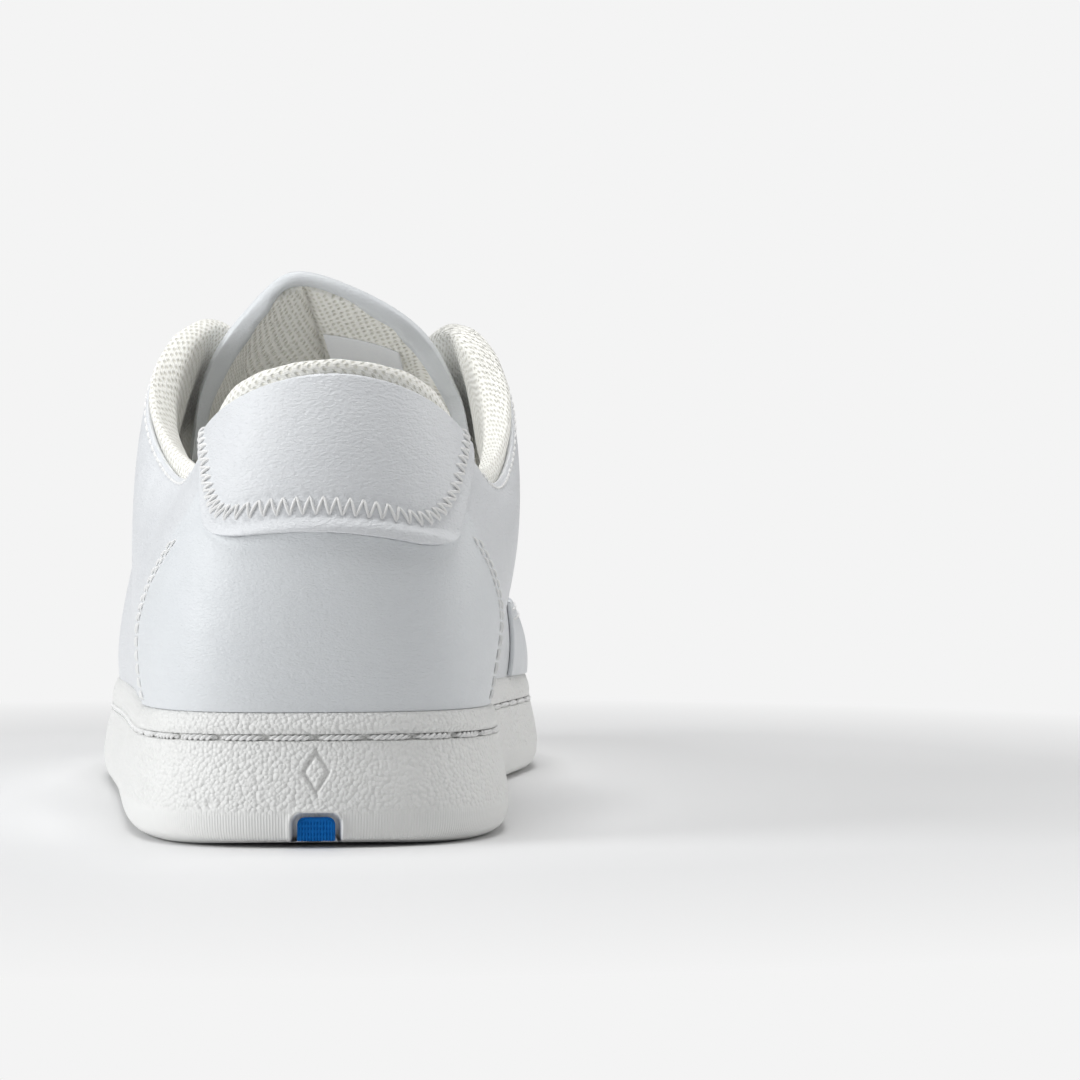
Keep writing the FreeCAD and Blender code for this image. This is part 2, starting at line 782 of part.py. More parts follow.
def collar(u, w):
    """Face of the collar lining: from under the leather's top edge, over the roll, to the foot."""
    pad = size("collar_pad") * pad_depth(abs(u if u < 0.5 else u - 1.0))
    under = -base_ply[1] + size("ply_gap")
    base = -(offset_depth(pad, 0.55))
    route = (
        (0.90, -under), (0.985, -under), (1.03, -under + 0.3), (1.05, -pad * 0.45),
        (1.02, -pad * 0.9), (0.94, -pad), (0.82, -pad), (0.68, -pad * 0.95), (0.55, base),
        (0.40, -LINING_FACE - 0.5), (0.20, -LINING_FACE), (0.0, -LINING_FACE),
        (tuck_end(u), -LINING_FACE),
    )
    v, lift = open_curve(route)(w)
    return offset(skin, u, v, lift)


def offset_depth(pad, share):
    """Depth of the lining part-way down from the full pad to the bare lining."""
    return LINING_FACE + (pad - LINING_FACE) * share


def make_collar():
    """Lining that wraps the collar's padding and runs down to the board, and the padding."""
    thick = size("lining_thick")

    def lining_place(s, t):
        return between(-0.258, 0.258, s), t

    finish(feature("collar_lining", sheet_of(collar, lining_place, 52, 36, 0.0, -thick)),
           "collar_lining")
    outer, inner = [], []
    for i in range(45):
        u = between(-0.235, 0.235, i / 44)
        back, front = [], []
        for j in range(13):
            t = j / 12
            back.append(offset(skin, u, between(0.50, 0.97, t), base_ply[1] - 1.2))
            front.append(offset(collar, u, between(0.69, 0.27, t), -thick - 0.2))
        outer.append(back)
        inner.append(front)
    finish(feature("collar_foam", panel(outer, inner)), "collar_foam")


# ---------------------------------------------------------------- lace holes
EYELETS = 6
TOP_EYELET = 0.273        # u of the highest and the lowest lace hole on the medial side
LOW_EYELET = 0.420


def eyelet_stations():
    """The u of each lace hole, lowest first, evenly spaced along the throat."""
    steps = 200
    places = [between(LOW_EYELET, TOP_EYELET, k / steps) for k in range(steps + 1)]
    run = [0.0]
    for a, b in zip(places, places[1:]):
        run.append(run[-1] + math.dist(skin(a, 1.0), skin(b, 1.0)))
    stations = []
    for hole in range(EYELETS):
        wanted = run[-1] * hole / (EYELETS - 1)
        stations.append(next(u for u, gone in zip(places, run) if gone >= wanted - 1e-6))
    return stations


HOLES = eyelet_stations()


def throat(u, side, down, lift):
    """Point a distance down from the throat's edge on the medial (1) or lateral (-1) side."""
    along = u if side > 0 else 1.0 - u
    return V(*offset(skin, along, down_from_top(along, down), lift))


def punches():
    """Cylinders along the skin's normal, one for each lace hole."""
    cylinders = []
    for side in (1, -1):
        for u in HOLES:
            below = throat(u, side, size("eyelet_inset"), -7.0)
            above = throat(u, side, size("eyelet_inset"), 4.0)
            punch = doc.addObject("Part::Cylinder", "punch_%d" % len(cylinders))
            punch.setExpression("Radius", "sizes.eyelet_radius")
            punch.Height = (above - below).Length
            punch.Placement = FreeCAD.Placement(
                below, FreeCAD.Rotation(V(0, 0, 1), above - below))
            cylinders.append(punch)
    group = doc.addObject("Part::Compound", "punches")
    group.Links = cylinders
    return group


# ---------------------------------------------------------------- tongue
TONGUE_SIDE = -1          # the tongue's normal points away from the foot
SHELL = 1.1               # leather and lining of the tongue
TONGUE_CLEAR = 6.9        # tongue's outer face below the skin, which leaves room for the lace
# Top edge of the tongue, medial wing to lateral wing, where it stands free above the lobes.
TONGUE_CREST = (
    (35, 124, 83), (30.5, 121.5, 97), (17.5, 119, 113), (-5, 118, 123.4), (-17, 119, 113.5),
    (-24.5, 121, 99), (-27, 124, 83),
)


def tongue_row(u):
    """Seven points across the tongue under the two edges of the throat."""
    row = []
    for down in (24.0, 13.0, 2.0):
        row.append(tuple(throat(u, 1, down, -TONGUE_CLEAR)))
    middle = (V(*skin(u, 1.0)) + V(*skin(1.0 - u, 1.0))) / 2 - V(0, 0, 5.0)
    row.append(tuple(middle))
    for down in (2.0, 13.0, 24.0):
        row.append(tuple(throat(u, -1, down, -TONGUE_CLEAR)))
    return row


def tongue_root():
    """Seven points of the tongue's front end, stitched in under the vamp."""
    row = []
    for u, down in ((0.43, 24), (0.45, 19), (0.475, 15), (0.5, 14)):
        row.append(tuple(throat(u, 1, down, -TONGUE_CLEAR)))
    for u, down in ((0.475, 15), (0.45, 19), (0.43, 24)):
        row.append(tuple(throat(u, -1, down, -TONGUE_CLEAR)))
    return row


def scaled(point):
    """A hand-set point, scaled with the last."""
    return point[0] * girth, point[1] * stretch, 27 + (point[2] - 27) * rise


TONGUE_ROWS = [open_curve(row) for row in (
    [tongue_root()]
    + [tongue_row(u) for u in (0.415, 0.385, 0.355, 0.325, 0.298, 0.272)]
    + [[scaled(p) for p in TONGUE_CREST]]
)]


def tongue(a, b):
    """Outer face of the tongue: a across from medial to lateral, b from the root to the crest."""
    rows = [row(min(max(a, 0.0), 1.0)) for row in TONGUE_ROWS]
    return open_curve(rows)(min(max(b, 0.0), 1.0))


# Thickness of the tongue, across it.
tongue_pad = graph(((0.0, 2.6), (0.10, 2.7), (0.22, 5.0), (0.5, 6.5), (0.78, 5.0), (0.90, 2.7),
                    (1.0, 2.6)))


def tongue_depth(a, b):
    """Thickness of the tongue: thin at its sides and root, padded in the middle."""
    root = min(1.0, 0.42 + 1.2 * b)
    return max(2.6, tongue_pad(a) * root)


def tongue_ply(name, depth_top, depth_bottom, sides=(0.0, 1.0), ends=(0.0, 1.0)):
    """Ply of the tongue between two depths, each a function of the place on the tongue."""
    grids = []
    for depth in (depth_top, depth_bottom):
        grid = []
        for i in range(25):
            row = []
            for j in range(31):
                a, b = between(*sides, i / 24), between(*ends, j / 30)
                near = (min(max(a, 0.003), 0.997), min(max(b, 0.003), 0.997))
                x, y, z = tongue(a, b)
                fx, fy, fz = tongue(*near)
                ox, oy, oz = offset(tongue, *near, TONGUE_SIDE * depth(a, b))
                row.append((x + ox - fx, y + oy - fy, z + oz - fz))
            grid.append(row)
        grids.append(grid)
    return finish(feature(name, panel(*grids)), name)


def make_tongue():
    """Leather outside, foam, mesh lining and a plain label."""
    tongue_ply("tongue_shell", lambda a, b: 0.0, lambda a, b: SHELL)
    tongue_ply("tongue_lining", lambda a, b: tongue_depth(a, b) - SHELL, tongue_depth)
    tongue_ply("tongue_foam", lambda a, b: SHELL + 0.1,
               lambda a, b: tongue_depth(a, b) - SHELL - 0.1,
               sides=(0.16, 0.84), ends=(0.12, 0.985))
    tongue_ply("tongue_label", lambda a, b: tongue_depth(a, b) + 0.05,
               lambda a, b: tongue_depth(a, b) + 0.45, sides=(0.33, 0.48), ends=(0.86, 0.97))


# ---------------------------------------------------------------- lace
TAIL_SIDE = 1             # side on which the lateral half of the lace ends
LACE_UNDER = -5.0         # lace between the lining and the tongue
LACE_OVER = 2.2           # lace on top of the eyestay


def tail_station(holes_on):
    """The u that lies a number of lace holes below the top one."""
    step = int(holes_on)
    return between(HOLES[-1 - step], HOLES[-2 - step], holes_on - step)


def lace_half(side):
    """Keys of half the lace, from the middle of the bottom bar to the tail's end.

    Each key is a point, the direction that the flat side faces, and half the width there.
    """
    wide, narrow = size("lace_width") / 2, 1.3
    inset = size("eyelet_inset")
    keys = []
    face = 1.0

    def add(point, facing, half):
        keys.append((point, facing * (1.0 / facing.Length), half))

    def up(u, at_side, down):
        return throat(u, at_side, down, 1.0) - throat(u, at_side, down, 0.0)

    def inward(u, at_side):
        return throat(u, at_side, inset - 3.0, 0.0) - throat(u, at_side, inset + 3.0, 0.0)

    def middle(u, height):
        return (V(*skin(u, 1.0)) + V(*skin(1.0 - u, 1.0))) / 2 + V(0, 0, height)

    add(middle(HOLES[0], -2.6), V(0, 0, 1), 2.9)
    add(throat(HOLES[0], side, 0.3, LACE_UNDER), up(HOLES[0], side, 1.0), 2.7)
    for hole, u in enumerate(HOLES):
        add(throat(u, side, inset - 3.0, LACE_UNDER), up(u, side, inset) * face, 2.2)
        if hole == EYELETS - 1:
            break
        add(throat(u, side, inset + 0.6, LACE_UNDER + 2.2), inward(u, side) * face, narrow)
        add(throat(u, side, inset + 0.6, LACE_OVER - 1.6), inward(u, side) * face, narrow)
        face = -face
        add(throat(u, side, inset - 2.6, LACE_OVER), up(u, side, inset) * face, 2.2)
        onward = HOLES[hole + 1]
        near, far = between(u, onward, 0.2), between(u, onward, 0.8)
        add(throat(near, side, 1.5, LACE_OVER + 0.3), up(near, side, 1.5) * face, wide)
        height = 0.4 if side > 0 else -1.2
        add(middle(between(u, onward, 0.5), height), V(0, 0, 1) * face, wide)
        side = -side
        if hole == EYELETS - 2:
            add(throat(far, side, 1.5, LACE_OVER + 0.8), up(far, side, 1.5) * face, 2.7)
            break
        add(throat(far, side, 0.3, LACE_UNDER), up(far, side, 1.0) * face, 2.7)
    last = HOLES[-1]
    add(throat(last, side, inset - 2.6, LACE_OVER), up(last, side, inset) * face, 2.2)
    add(throat(last, side, inset, LACE_OVER - 1.6), inward(last, side) * -face, narrow)
    add(throat(last, side, inset, LACE_UNDER + 2.2), inward(last, side) * -face, narrow)
    tail = ((0.12, 11.5, 2.4), (0.9, 16.5, 2.8), (1.7, 17.5, wide), (2.3, 17.5, 1.6))
    for holes_on, down, half in tail:
        u = tail_station(holes_on)
        add(throat(u, side, down, LACE_UNDER), up(u, side, down) * face, half)
    return keys


def lace_rows(keys, spacing=1.5):
    """Evenly fine rows (point, facing, half width) along the lace."""
    values = [tuple(p) + tuple(f) + (half,) for p, f, half in keys]
    gaps = [(q[0] - p[0]).Length for p, q in zip(keys, keys[1:])]
    slopes = []
    for i in range(len(values)):
        lo, hi = max(i - 1, 0), min(i + 1, len(values) - 1)
        run = sum(gaps[lo:hi])
        slopes.append([(q - p) / run for p, q in zip(values[lo], values[hi])])
    rows = []
    for i, gap in enumerate(gaps):
        start = [slope * gap for slope in slopes[i]]
        end = [slope * gap for slope in slopes[i + 1]]
        count = max(4, round(gap / spacing))
        rows += [blend(values[i], values[i + 1], start, end, k / count) for k in range(count)]
    return rows + [values[-1]]


def make_lace():
    """The whole lace as one flat band, and the two sleeves on its ends."""
    medial, lateral = lace_half(1), lace_half(-1)
    keys = list(reversed(lateral)) + medial[1:]
    rows = lace_rows(keys)
    half_thick = size("lace_thick") / 2
    grids = ([], [])
    for i, row in enumerate(rows):
        point, facing = V(*row[0:3]), V(*row[3:6])
        before, after = rows[max(i - 1, 0)], rows[min(i + 1, len(rows) - 1)]
        along = V(*after[0:3]) - V(*before[0:3])
        across = along.cross(facing).normalize()
        thick = across.cross(along).normalize() * half_thick
        for grid, side in zip(grids, (1, -1)):
            grid.append([tuple(point + across * (row[6] * share) + thick * side)
                         for share in (-1.0, 0.0, 1.0)])
    finish(feature("lace", panel(*grids)), "lace")
    sleeves = []
    for end, side in ((rows[0], TAIL_SIDE), (rows[-1], -TAIL_SIDE)):
        run = throat(tail_station(3.4), side, 17.5, LACE_UNDER - 0.2) - V(*end[0:3])
        run.normalize()
        start = V(*end[0:3]) + run * 0.15
        sleeves.append(Part.makeCylinder(size("aglet_radius"), size("aglet_length"), start, run))
    finish(feature("aglets", Part.makeCompound(sleeves)), "aglets")


def check_and_write():
    """Check every piece, move it into place and write it out."""
    doc.recompute()
    os.makedirs("parts", exist_ok=True)
    home = V(-size("middle_side"), -size("middle_along"), 0)
    for item in doc.Objects:
        if "Invalid" in item.State or "Error" in item.State:
            raise RuntimeError("failed object: " + item.Name)
    for item in PIECES:
        shape = item.Shape
        if shape.isNull() or not shape.isValid():
            raise RuntimeError("bad shape: " + item.Label)
        item.Placement = FreeCAD.Placement(home, FreeCAD.Rotation()).multiply(item.Placement)
        item.Shape.exportStep("parts/%s.step" % item.Label)
        print("%-20s %9.0f mm3 %3d solids" % (item.Label, shape.Volume, len(shape.Solids)))


make_cupsole()
make_heel_plug()
make_sidewall_stitching()
make_midsole()
make_board_and_liner()
lace_holes = punches()
for blank, piece in (
        (make_quarter("quarter_medial", 1), "quarter_medial"),
        (make_quarter("quarter_lateral", -1), "quarter_lateral"),
        (make_vamp(), "vamp"),
        (make_vamp_lining(), "vamp_lining"),
        (make_eyestay(), "eyestay")):
    finish(cut(piece, blank, lace_holes), piece)
make_toe_overlay()
make_heel_panel()
make_heel_tab()
make_tab_stitching()
make_stiffeners()
make_collar()
make_tongue()
make_lace()
check_and_write()
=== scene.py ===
"""Looks of the left court shoe: every visible piece, its material, the studio and the camera.

Shapes are worked out in millimetres in the shoe's drawing frame, whose +Y runs from the back of
the heel to the toe, +X to the medial side and +Z up, and are moved to the row frame, in metres,
as each mesh is made.
"""
import math

import bpy
import numpy as np
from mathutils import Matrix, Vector


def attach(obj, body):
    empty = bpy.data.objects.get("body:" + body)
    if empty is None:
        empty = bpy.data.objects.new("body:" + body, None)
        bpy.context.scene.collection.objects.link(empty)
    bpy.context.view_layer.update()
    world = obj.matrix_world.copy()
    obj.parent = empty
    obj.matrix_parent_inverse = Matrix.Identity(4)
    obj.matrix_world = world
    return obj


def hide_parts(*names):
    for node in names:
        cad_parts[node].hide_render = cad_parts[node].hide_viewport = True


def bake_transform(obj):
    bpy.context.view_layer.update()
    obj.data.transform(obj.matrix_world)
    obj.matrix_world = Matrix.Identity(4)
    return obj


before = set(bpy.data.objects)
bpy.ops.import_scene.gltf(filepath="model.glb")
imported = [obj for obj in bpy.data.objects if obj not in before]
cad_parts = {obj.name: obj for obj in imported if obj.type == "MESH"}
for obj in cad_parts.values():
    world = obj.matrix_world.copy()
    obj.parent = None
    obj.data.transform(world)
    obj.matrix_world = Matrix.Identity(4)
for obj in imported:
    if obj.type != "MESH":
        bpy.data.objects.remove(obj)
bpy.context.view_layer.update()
HOME = np.array([2.1, 148.0, 0.0])  # row origin in the drawing frame, mm
MM = 1000.0  # millimetres to a metre


# ---- curves
def blend(p, q, a, b, t):
    """Cubic from p to q with end tangents a and b."""
    t = t[..., None]
    return ((1 + 2 * t) * (1 - t) ** 2 * p + t * (1 - t) ** 2 * a
            + t * t * (3 - 2 * t) * q - t * t * (1 - t) * b)


def closed_curve(keys):
    """Smooth closed curve through keys that are evenly spaced in its parameter, 0 to 1."""
    keys = np.array(keys, float)
    count = len(keys)
    around = np.eye(count)
    system = 4 * around + np.roll(around, 1, axis=1) + np.roll(around, -1, axis=1)
    slope = np.linalg.solve(system, 3 * (np.roll(keys, -1, axis=0) - np.roll(keys, 1, axis=0)))

    def at(u):
        step = (np.asarray(u, float) % 1.0) * count
        i = step.astype(int) % count
        j = (i + 1) % count
        return blend(keys[i], keys[j], slope[i], slope[j], step - np.floor(step))

    return at


def open_curve(keys):
    """Smooth open curve through keys that are evenly spaced in its parameter, 0 to 1.

    Keys of three dimensions hold a curve of their own for each point asked for.
    """
    keys = np.array(keys, float)
    last = len(keys) - 1
    slope = np.array([
        (keys[min(i + 1, last)] - keys[max(i - 1, 0)]) / (min(i + 1, last) - max(i - 1, 0))
        for i in range(last + 1)])

    def at(t):
        step = np.clip(np.asarray(t, float), 0.0, 1.0) * last
        i = np.minimum(step.astype(int), last - 1)
        if keys.ndim == 3:
            own = np.arange(keys.shape[1])
            return blend(keys[i, own], keys[i + 1, own], slope[i, own], slope[i + 1, own], step - i)
        return blend(keys[i], keys[i + 1], slope[i], slope[i + 1], step - i)

    return at


def graph(keys):
    """Smooth function through (place, value) keys, with no overshoot, level past its ends."""
    x, y = np.array(keys, float).T
    rise = np.diff(y) / np.diff(x)
    before, after = rise[:-1], rise[1:]
    both = before * after
    middle = np.where(both > 0, 2 * both / np.where(both > 0, before + after, 1.0), 0.0)
    slope = np.concatenate([rise[:1], middle, rise[-1:]])

    def at(place):
        place = np.clip(np.asarray(place, float), x[0], x[-1])
        i = np.clip(np.searchsorted(x, place) - 1, 0, len(x) - 2)
        gap = x[i + 1] - x[i]
        ends = (y[i][..., None], y[i + 1][..., None],
                (slope[i] * gap)[..., None], (slope[i + 1] * gap)[..., None])
        return blend(*ends, (place - x[i]) / gap)[..., 0]

    return at


def mix(low, high, t):
    """Value a share t of the way from low to high."""
    return low + (high - low) * t


def ease(low, high, place):
    """Smooth step from 0 at low to 1 at high."""
    t = np.clip((place - low) / (high - low), 0, 1)
    return t * t * (3 - 2 * t)


def grid(s, t):
    """Every pairing of two rows of parameters, as two tables."""
    return np.meshgrid(s, t, indexing="ij")


def size_of(vectors):
    return np.linalg.norm(vectors, axis=-1)


def unit(vectors):
    return vectors / size_of(vectors)[..., None]


def lengths(points, axis=0):
    """Running length along a path, or along one axis of a grid of points."""
    axis = axis % (points.ndim - 1)
    steps = size_of(np.diff(points, axis=axis))
    zero = np.zeros_like(np.take(steps, [0], axis=axis))
    return np.cumsum(np.concatenate([zero, steps], axis=axis), axis=axis)


def pick(places, run, values):
    """Rows of values held along a path, looked up at places along its running length."""
    return np.stack([np.interp(places, run, column) for column in values.T], axis=1)


# ---- the last, as in the CAD model
SOLE = (
    (0, 0), (30, 9.5), (41, 44), (39.5, 98), (43.5, 142), (52, 178), (56.6, 212), (45.5, 265),
    (12, 296), (-26.5, 273), (-46, 235), (-52.4, 190), (-50, 150), (-45.5, 105), (-41, 48),
    (-30, 9.5),
)
# At each station: the upper's foot (x, y), how far its curve leans out and rises there, how far
# it leans out and falls at the top line, and the top line (x, y, z).
UPPER = (
    ((0, 5), (4, 20), (9, 21), (2, 12, 96)),
    ((26, 13), (4, 20), (8, 20), (26, 25, 88)),
    ((36.7, 45), (2, 16), (9, 10), (39, 62, 73.5)),
    ((35.5, 98), (7.5, 16), (4, 18), (45, 104, 92)),
    ((40, 142), (7.5, 22), (11, 16), (33, 128, 108)),
    ((48.5, 178), (4, 20), (17, 10), (19, 160, 88)),
    ((53, 212), (2.5, 20), (20, 6), (12, 194, 71)),
    ((42, 262), (3, 20), (32, 8), (7, 206, 66)),
    ((12, 290.5), (3, 20), (45, 8), (2.5, 209, 65)),
    ((-23, 268), (3, 20), (34, 8), (-2, 206, 66)),
    ((-41.5, 232), (3, 20), (18, 6), (-8, 196, 70)),
    ((-49, 190), (3, 20), (18, 10), (-14, 160, 88)),
    ((-46, 150), (1.5, 22), (12, 16), (-25, 128, 109)),
    ((-41.5, 105), (0.5, 20), (5, 18), (-38.5, 104, 93)),
    ((-37, 50), (2.5, 18), (10.5, 10), (-29, 64, 74.5)),
    ((-26, 13), (4, 20), (8, 20), (-20, 25, 87)),
)
TUCK_RATE, TUCK_LEAN = 60.0, 0.15  # how the upper runs down inside the cup
GLUE_GAP = 0.3  # between the upper's end and the midsole foam
sole_outline = closed_curve(SOLE)
foot_outline = closed_curve([foot for foot, _, _, _ in UPPER])


def outward(outline, u):
    """Level unit vectors out of a closed outline."""
    run = outline(np.asarray(u) + 0.001) - outline(np.asarray(u) - 0.001)
    return unit(np.stack([run[..., 1], -run[..., 0]], axis=-1))


def lip_height(y):
    """Top of the rubber, where the upper goes in."""
    return np.where(y < 210, 27 - 3 * y / 210, 24 + 4.5 * ((y - 210) / 80) ** 2)


def toe_rise(y):
    """How far the sole turns up under the toe."""
    return 8.0 * (np.maximum(y - 205.0, 0.0) / 91.0) ** 2


def ground_face(y):
    """Underside of the sole: turned up at the toe and a little behind the heel."""
    return toe_rise(y) + 1.4 * (np.maximum(16.0 - y, 0.0) / 16.0) ** 2


def cup_level(y):
    """Floor of the rubber cup."""
    return 7 + 0.8 * toe_rise(y)


def foam_level(y):
    """Top of the midsole foam, which is thickest at the heel."""
    return cup_level(y) + 7 - 2 * np.clip(y / 200, 0, 1)


def upper_controls():
    """Curves round the shoe that steer the skin, from the lip up to the top line."""
    rings = ([], [], [], [])
    for k, (foot, low, high, top) in enumerate(UPPER):
        nx, ny = outward(foot_outline, k / len(UPPER))
        lip = float(lip_height(foot[1]))
        rings[0].append((foot[0], foot[1], lip))
        rings[1].append((foot[0] + nx * low[0], foot[1] + ny * low[0], lip + low[1]))
        rings[2].append((top[0] + nx * high[0], top[1] + ny * high[0], top[2] - high[1]))
        rings[3].append(top)
    return [closed_curve(keys) for keys in rings]


CONTROLS = upper_controls()


def skin(u, v):
    """Outer face of the upper: u round the shoe, v from the lip (0) to the top line (1)."""
    u, v = np.broadcast_arrays(np.asarray(u, float), np.asarray(v, float))
    foot, low, high, top = (curve(u) for curve in CONTROLS)
    w = np.clip(v, 0, 1)[..., None]
    curved = ((1 - w) ** 3 * foot + 3 * w * (1 - w) ** 2 * low
              + 3 * w * w * (1 - w) * high + w ** 3 * top)
    depth = np.maximum(-v, 0) * TUCK_RATE
    normal = outward(foot_outline, u)
    curved[..., 0] -= normal[..., 0] * depth * TUCK_LEAN
    curved[..., 1] -= normal[..., 1] * depth * TUCK_LEAN
    curved[..., 2] -= depth
    return curved + 3 * np.maximum(v - 1, 0)[..., None] * (top - high)


def normals(face, a, b, step=0.002):
    """Unit normals of a face, from steps in its two parameters."""
    across = face(a + step, b) - face(a - step, b)
    along = face(a, b + step) - face(a, b - step)
    return unit(np.cross(across, along))


def offset(u, v, lift):
    """Points of the skin moved along its normals."""
    u, v = np.broadcast_arrays(np.asarray(u, float), np.asarray(v, float))
    return skin(u, v) + normals(skin, u, v) * np.asarray(lift, float)[..., None]


def down_from_top(u, distance):
    """The v that lies a distance down the skin from the top line."""
    u = np.asarray(u, float)
    v = np.linspace(1.0, 0.0, 101)
    gone = lengths(skin(u[..., None], v), -1).reshape(-1, len(v))
    wanted = np.broadcast_to(distance, u.shape).reshape(-1)
    found = [np.interp(d, row, v) for d, row in zip(wanted, gone)]
    return np.array(found).reshape(u.shape)


def tuck_end(u):
    """The v where the upper ends, on the midsole foam."""
    y = foot_outline(u)[..., 1]
    return -(lip_height(y) - foam_level(y) - GLUE_GAP) / TUCK_RATE


# ---- meshes
def add_mesh(name, points, faces, material, uv=None):
    """Mesh object from points in the drawing frame; uv holds a pair for each; all in mm.

    Faces are a list, or an array of quads, whose unused points are left out.
    """
    mesh = bpy.data.meshes.new(name)
    placed = (np.asarray(points, float).reshape(-1, 3) - HOME) / MM
    if isinstance(faces, np.ndarray):
        kept, faces = np.unique(faces, return_inverse=True)
        faces = faces.reshape(-1, 4).tolist()
        placed = placed[kept]
        uv = None if uv is None else np.asarray(uv).reshape(-1, 2)[kept]
    mesh.from_pydata(placed.tolist(), [], faces)
    mesh.validate()
    mesh.shade_smooth()
    if uv is not None:
        layer = mesh.uv_layers.new(name="flat")
        corners = np.empty(len(mesh.loops), dtype=np.int32)
        mesh.loops.foreach_get("vertex_index", corners)
        layer.data.foreach_set("uv", (np.asarray(uv).reshape(-1, 2)[corners] / MM).ravel())
    mesh.materials.append(material)
    item = bpy.data.objects.new(name, mesh)
    bpy.context.scene.collection.objects.link(item)
    return item


def quads(rows, columns, start=0, wrap=False):
    """Faces of a grid of points, rows by columns; wrap joins the last row to the first."""
    i = np.arange(rows if wrap else rows - 1)[:, None]
    j = np.arange(columns - 1)[None, :]
    after = (i + 1) % rows
    corners = (i * columns + j, after * columns + j, after * columns + j + 1, i * columns + j + 1)
    return start + np.stack(corners, axis=-1).reshape(-1, 4)


def closed_faces(rows, columns):
    """Faces of a solid whose points are an outer grid and then an inner one."""
    count = rows * columns
    index = np.arange(count).reshape(rows, columns)
    rim = np.concatenate([index[:-1, 0], index[-1, :-1], index[:0:-1, -1], index[0, :0:-1]])
    after = np.roll(rim, -1)
    walls = np.stack([after, rim, rim + count, after + count], axis=-1)
    return np.concatenate([quads(rows, columns), quads(rows, columns, count)[:, ::-1], walls])


def slab_faces(base, outward_normal):
    """Faces of a solid over a grid of base points, wound so that they face outward."""
    faces = closed_faces(*base.shape[:2])
    turn = np.cross(base[1:, :-1] - base[:-1, :-1], base[:-1, 1:] - base[:-1, :-1])
    return faces[:, ::-1] if (turn * outward_normal[:-1, :-1]).sum() < 0 else faces


def slab(name, outer, inner, faces, material, across, along, holes=()):
    """Solid between an outer and an inner grid; across and along are its flat lengths."""
    points = np.concatenate([outer.reshape(-1, 3), inner.reshape(-1, 3)])
    if len(holes):
        points, faces = punch(points, faces, holes, outer.shape)
    flat = np.stack([across, along], axis=-1).reshape(-1, 2)
    return add_mesh(name, points, faces, material, np.concatenate([flat, flat]))


def spaced(length, step, edge):
    """Parameters 0 to 1 along a length, finer at both ends, where an edge is rounded."""
    fine = edge * np.array([0.0, 0.1, 0.3, 0.6, 1.0, 1.6])
    middle = np.linspace(2.4 * edge, length - 2.4 * edge, max(2, int(length / step)))
    return np.concatenate([fine, middle, length - fine[::-1]]) / length


THINNEST = 0.2  # what is left of a ply under its deepest dip
EYELET_RADIUS, EYELET_INSET = 2.5, 8.0  # and how far the holes lie from the throat's edge


def rounding(distance, radius):
    """How far a face drops near an edge that is rounded to a radius."""
    near = np.clip(distance, 0, radius)
    return radius - np.sqrt(np.maximum(radius ** 2 - (radius - near) ** 2, 0))


def to_edge(run_s, run_t, free=(1, 1, 1, 1)):
    """Distance to the nearest free edge, over a grid of running lengths both ways."""
    gaps = (run_s, run_s[-1] - run_s, run_t, run_t[:, -1:] - run_t)
    return np.minimum.reduce([gap for gap, is_free in zip(gaps, free) if is_free])


def ply(name, face, place, material, top, thick, step=1.5, edge=0.5, free=(1, 1, 1, 1),
        relief=None, holes=(), loose=False):
    """A ply of leather or cloth on a face, with rounded free edges and cut holes.

    place(s, t) gives the face's parameters. free says which of the edges s=0, s=1, t=0 and t=1
    are rounded. relief(s, t, distance from the free edges) adds to the height of the top,
    and of the underside too if the ply is loose.
    """
    coarse = face(*place(*grid(np.linspace(0, 1, 25), np.linspace(0, 1, 25))))
    wide = lengths(coarse, 0)[-1].mean()
    high = lengths(coarse, 1)[:, -1].mean()
    s, t = grid(spaced(wide, step, edge), spaced(high, step, edge))
    a, b = place(s, t)
    base = face(a, b)
    normal = normals(face, a, b)
    run_s, run_t = lengths(base, 0), lengths(base, 1)
    distance = to_edge(run_s, run_t, free)
    lift = top - rounding(distance, edge)
    if relief is not None:
        lift = lift + relief(s, t, distance)
    outer = base + normal * lift[..., None]
    under = lift - thick if loose else np.minimum(top - thick, lift - THINNEST)
    inner = base + normal * under[..., None]
    return slab(name, outer, inner, slab_faces(base, normal), material, run_s, run_t, holes)


def punch(points, faces, centres, shape):
    """Cuts eyelets: faces near a centre go, and the rim's points move out to the circle.

    The holes' walls join the outer grid to the inner one, point for point.
    """
    count = shape[0] * shape[1]
    outer = points[:count]
    gap = size_of(outer[:, None] - centres)
    nearest, distance = gap.argmin(axis=1), gap.min(axis=1)
    middles = points[faces % count].mean(axis=1)
    gone = size_of(middles[:, None] - centres).min(axis=1) < EYELET_RADIUS
    cut, kept = faces[gone], faces[~gone]
    used = np.zeros(count, bool)
    used[kept[(kept < count).all(axis=1)].ravel()] = True
    touched = np.zeros(count, bool)
    top_cut = cut[(cut < count).all(axis=1)]
    touched[top_cut.ravel()] = True
    rim = np.where(used & touched)[0]
    away = outer[rim] - centres[nearest[rim]]
    snapped = centres[nearest[rim]] + away * (EYELET_RADIUS / distance[rim])[:, None]
    shift = snapped - outer[rim]
    points = points.copy()
    points[rim] += shift
    points[rim + count] += shift
    edges = np.concatenate([top_cut[:, [k, (k + 1) % 4]] for k in range(4)])
    pairs = {(int(p), int(q)) for p, q in edges}
    border = [(p, q) for p, q in pairs if (q, p) not in pairs and used[p] and used[q]]
    walls = np.array([(p, q, q + count, p + count) for p, q in border], int).reshape(-1, 4)
    return points, np.concatenate([kept, walls])


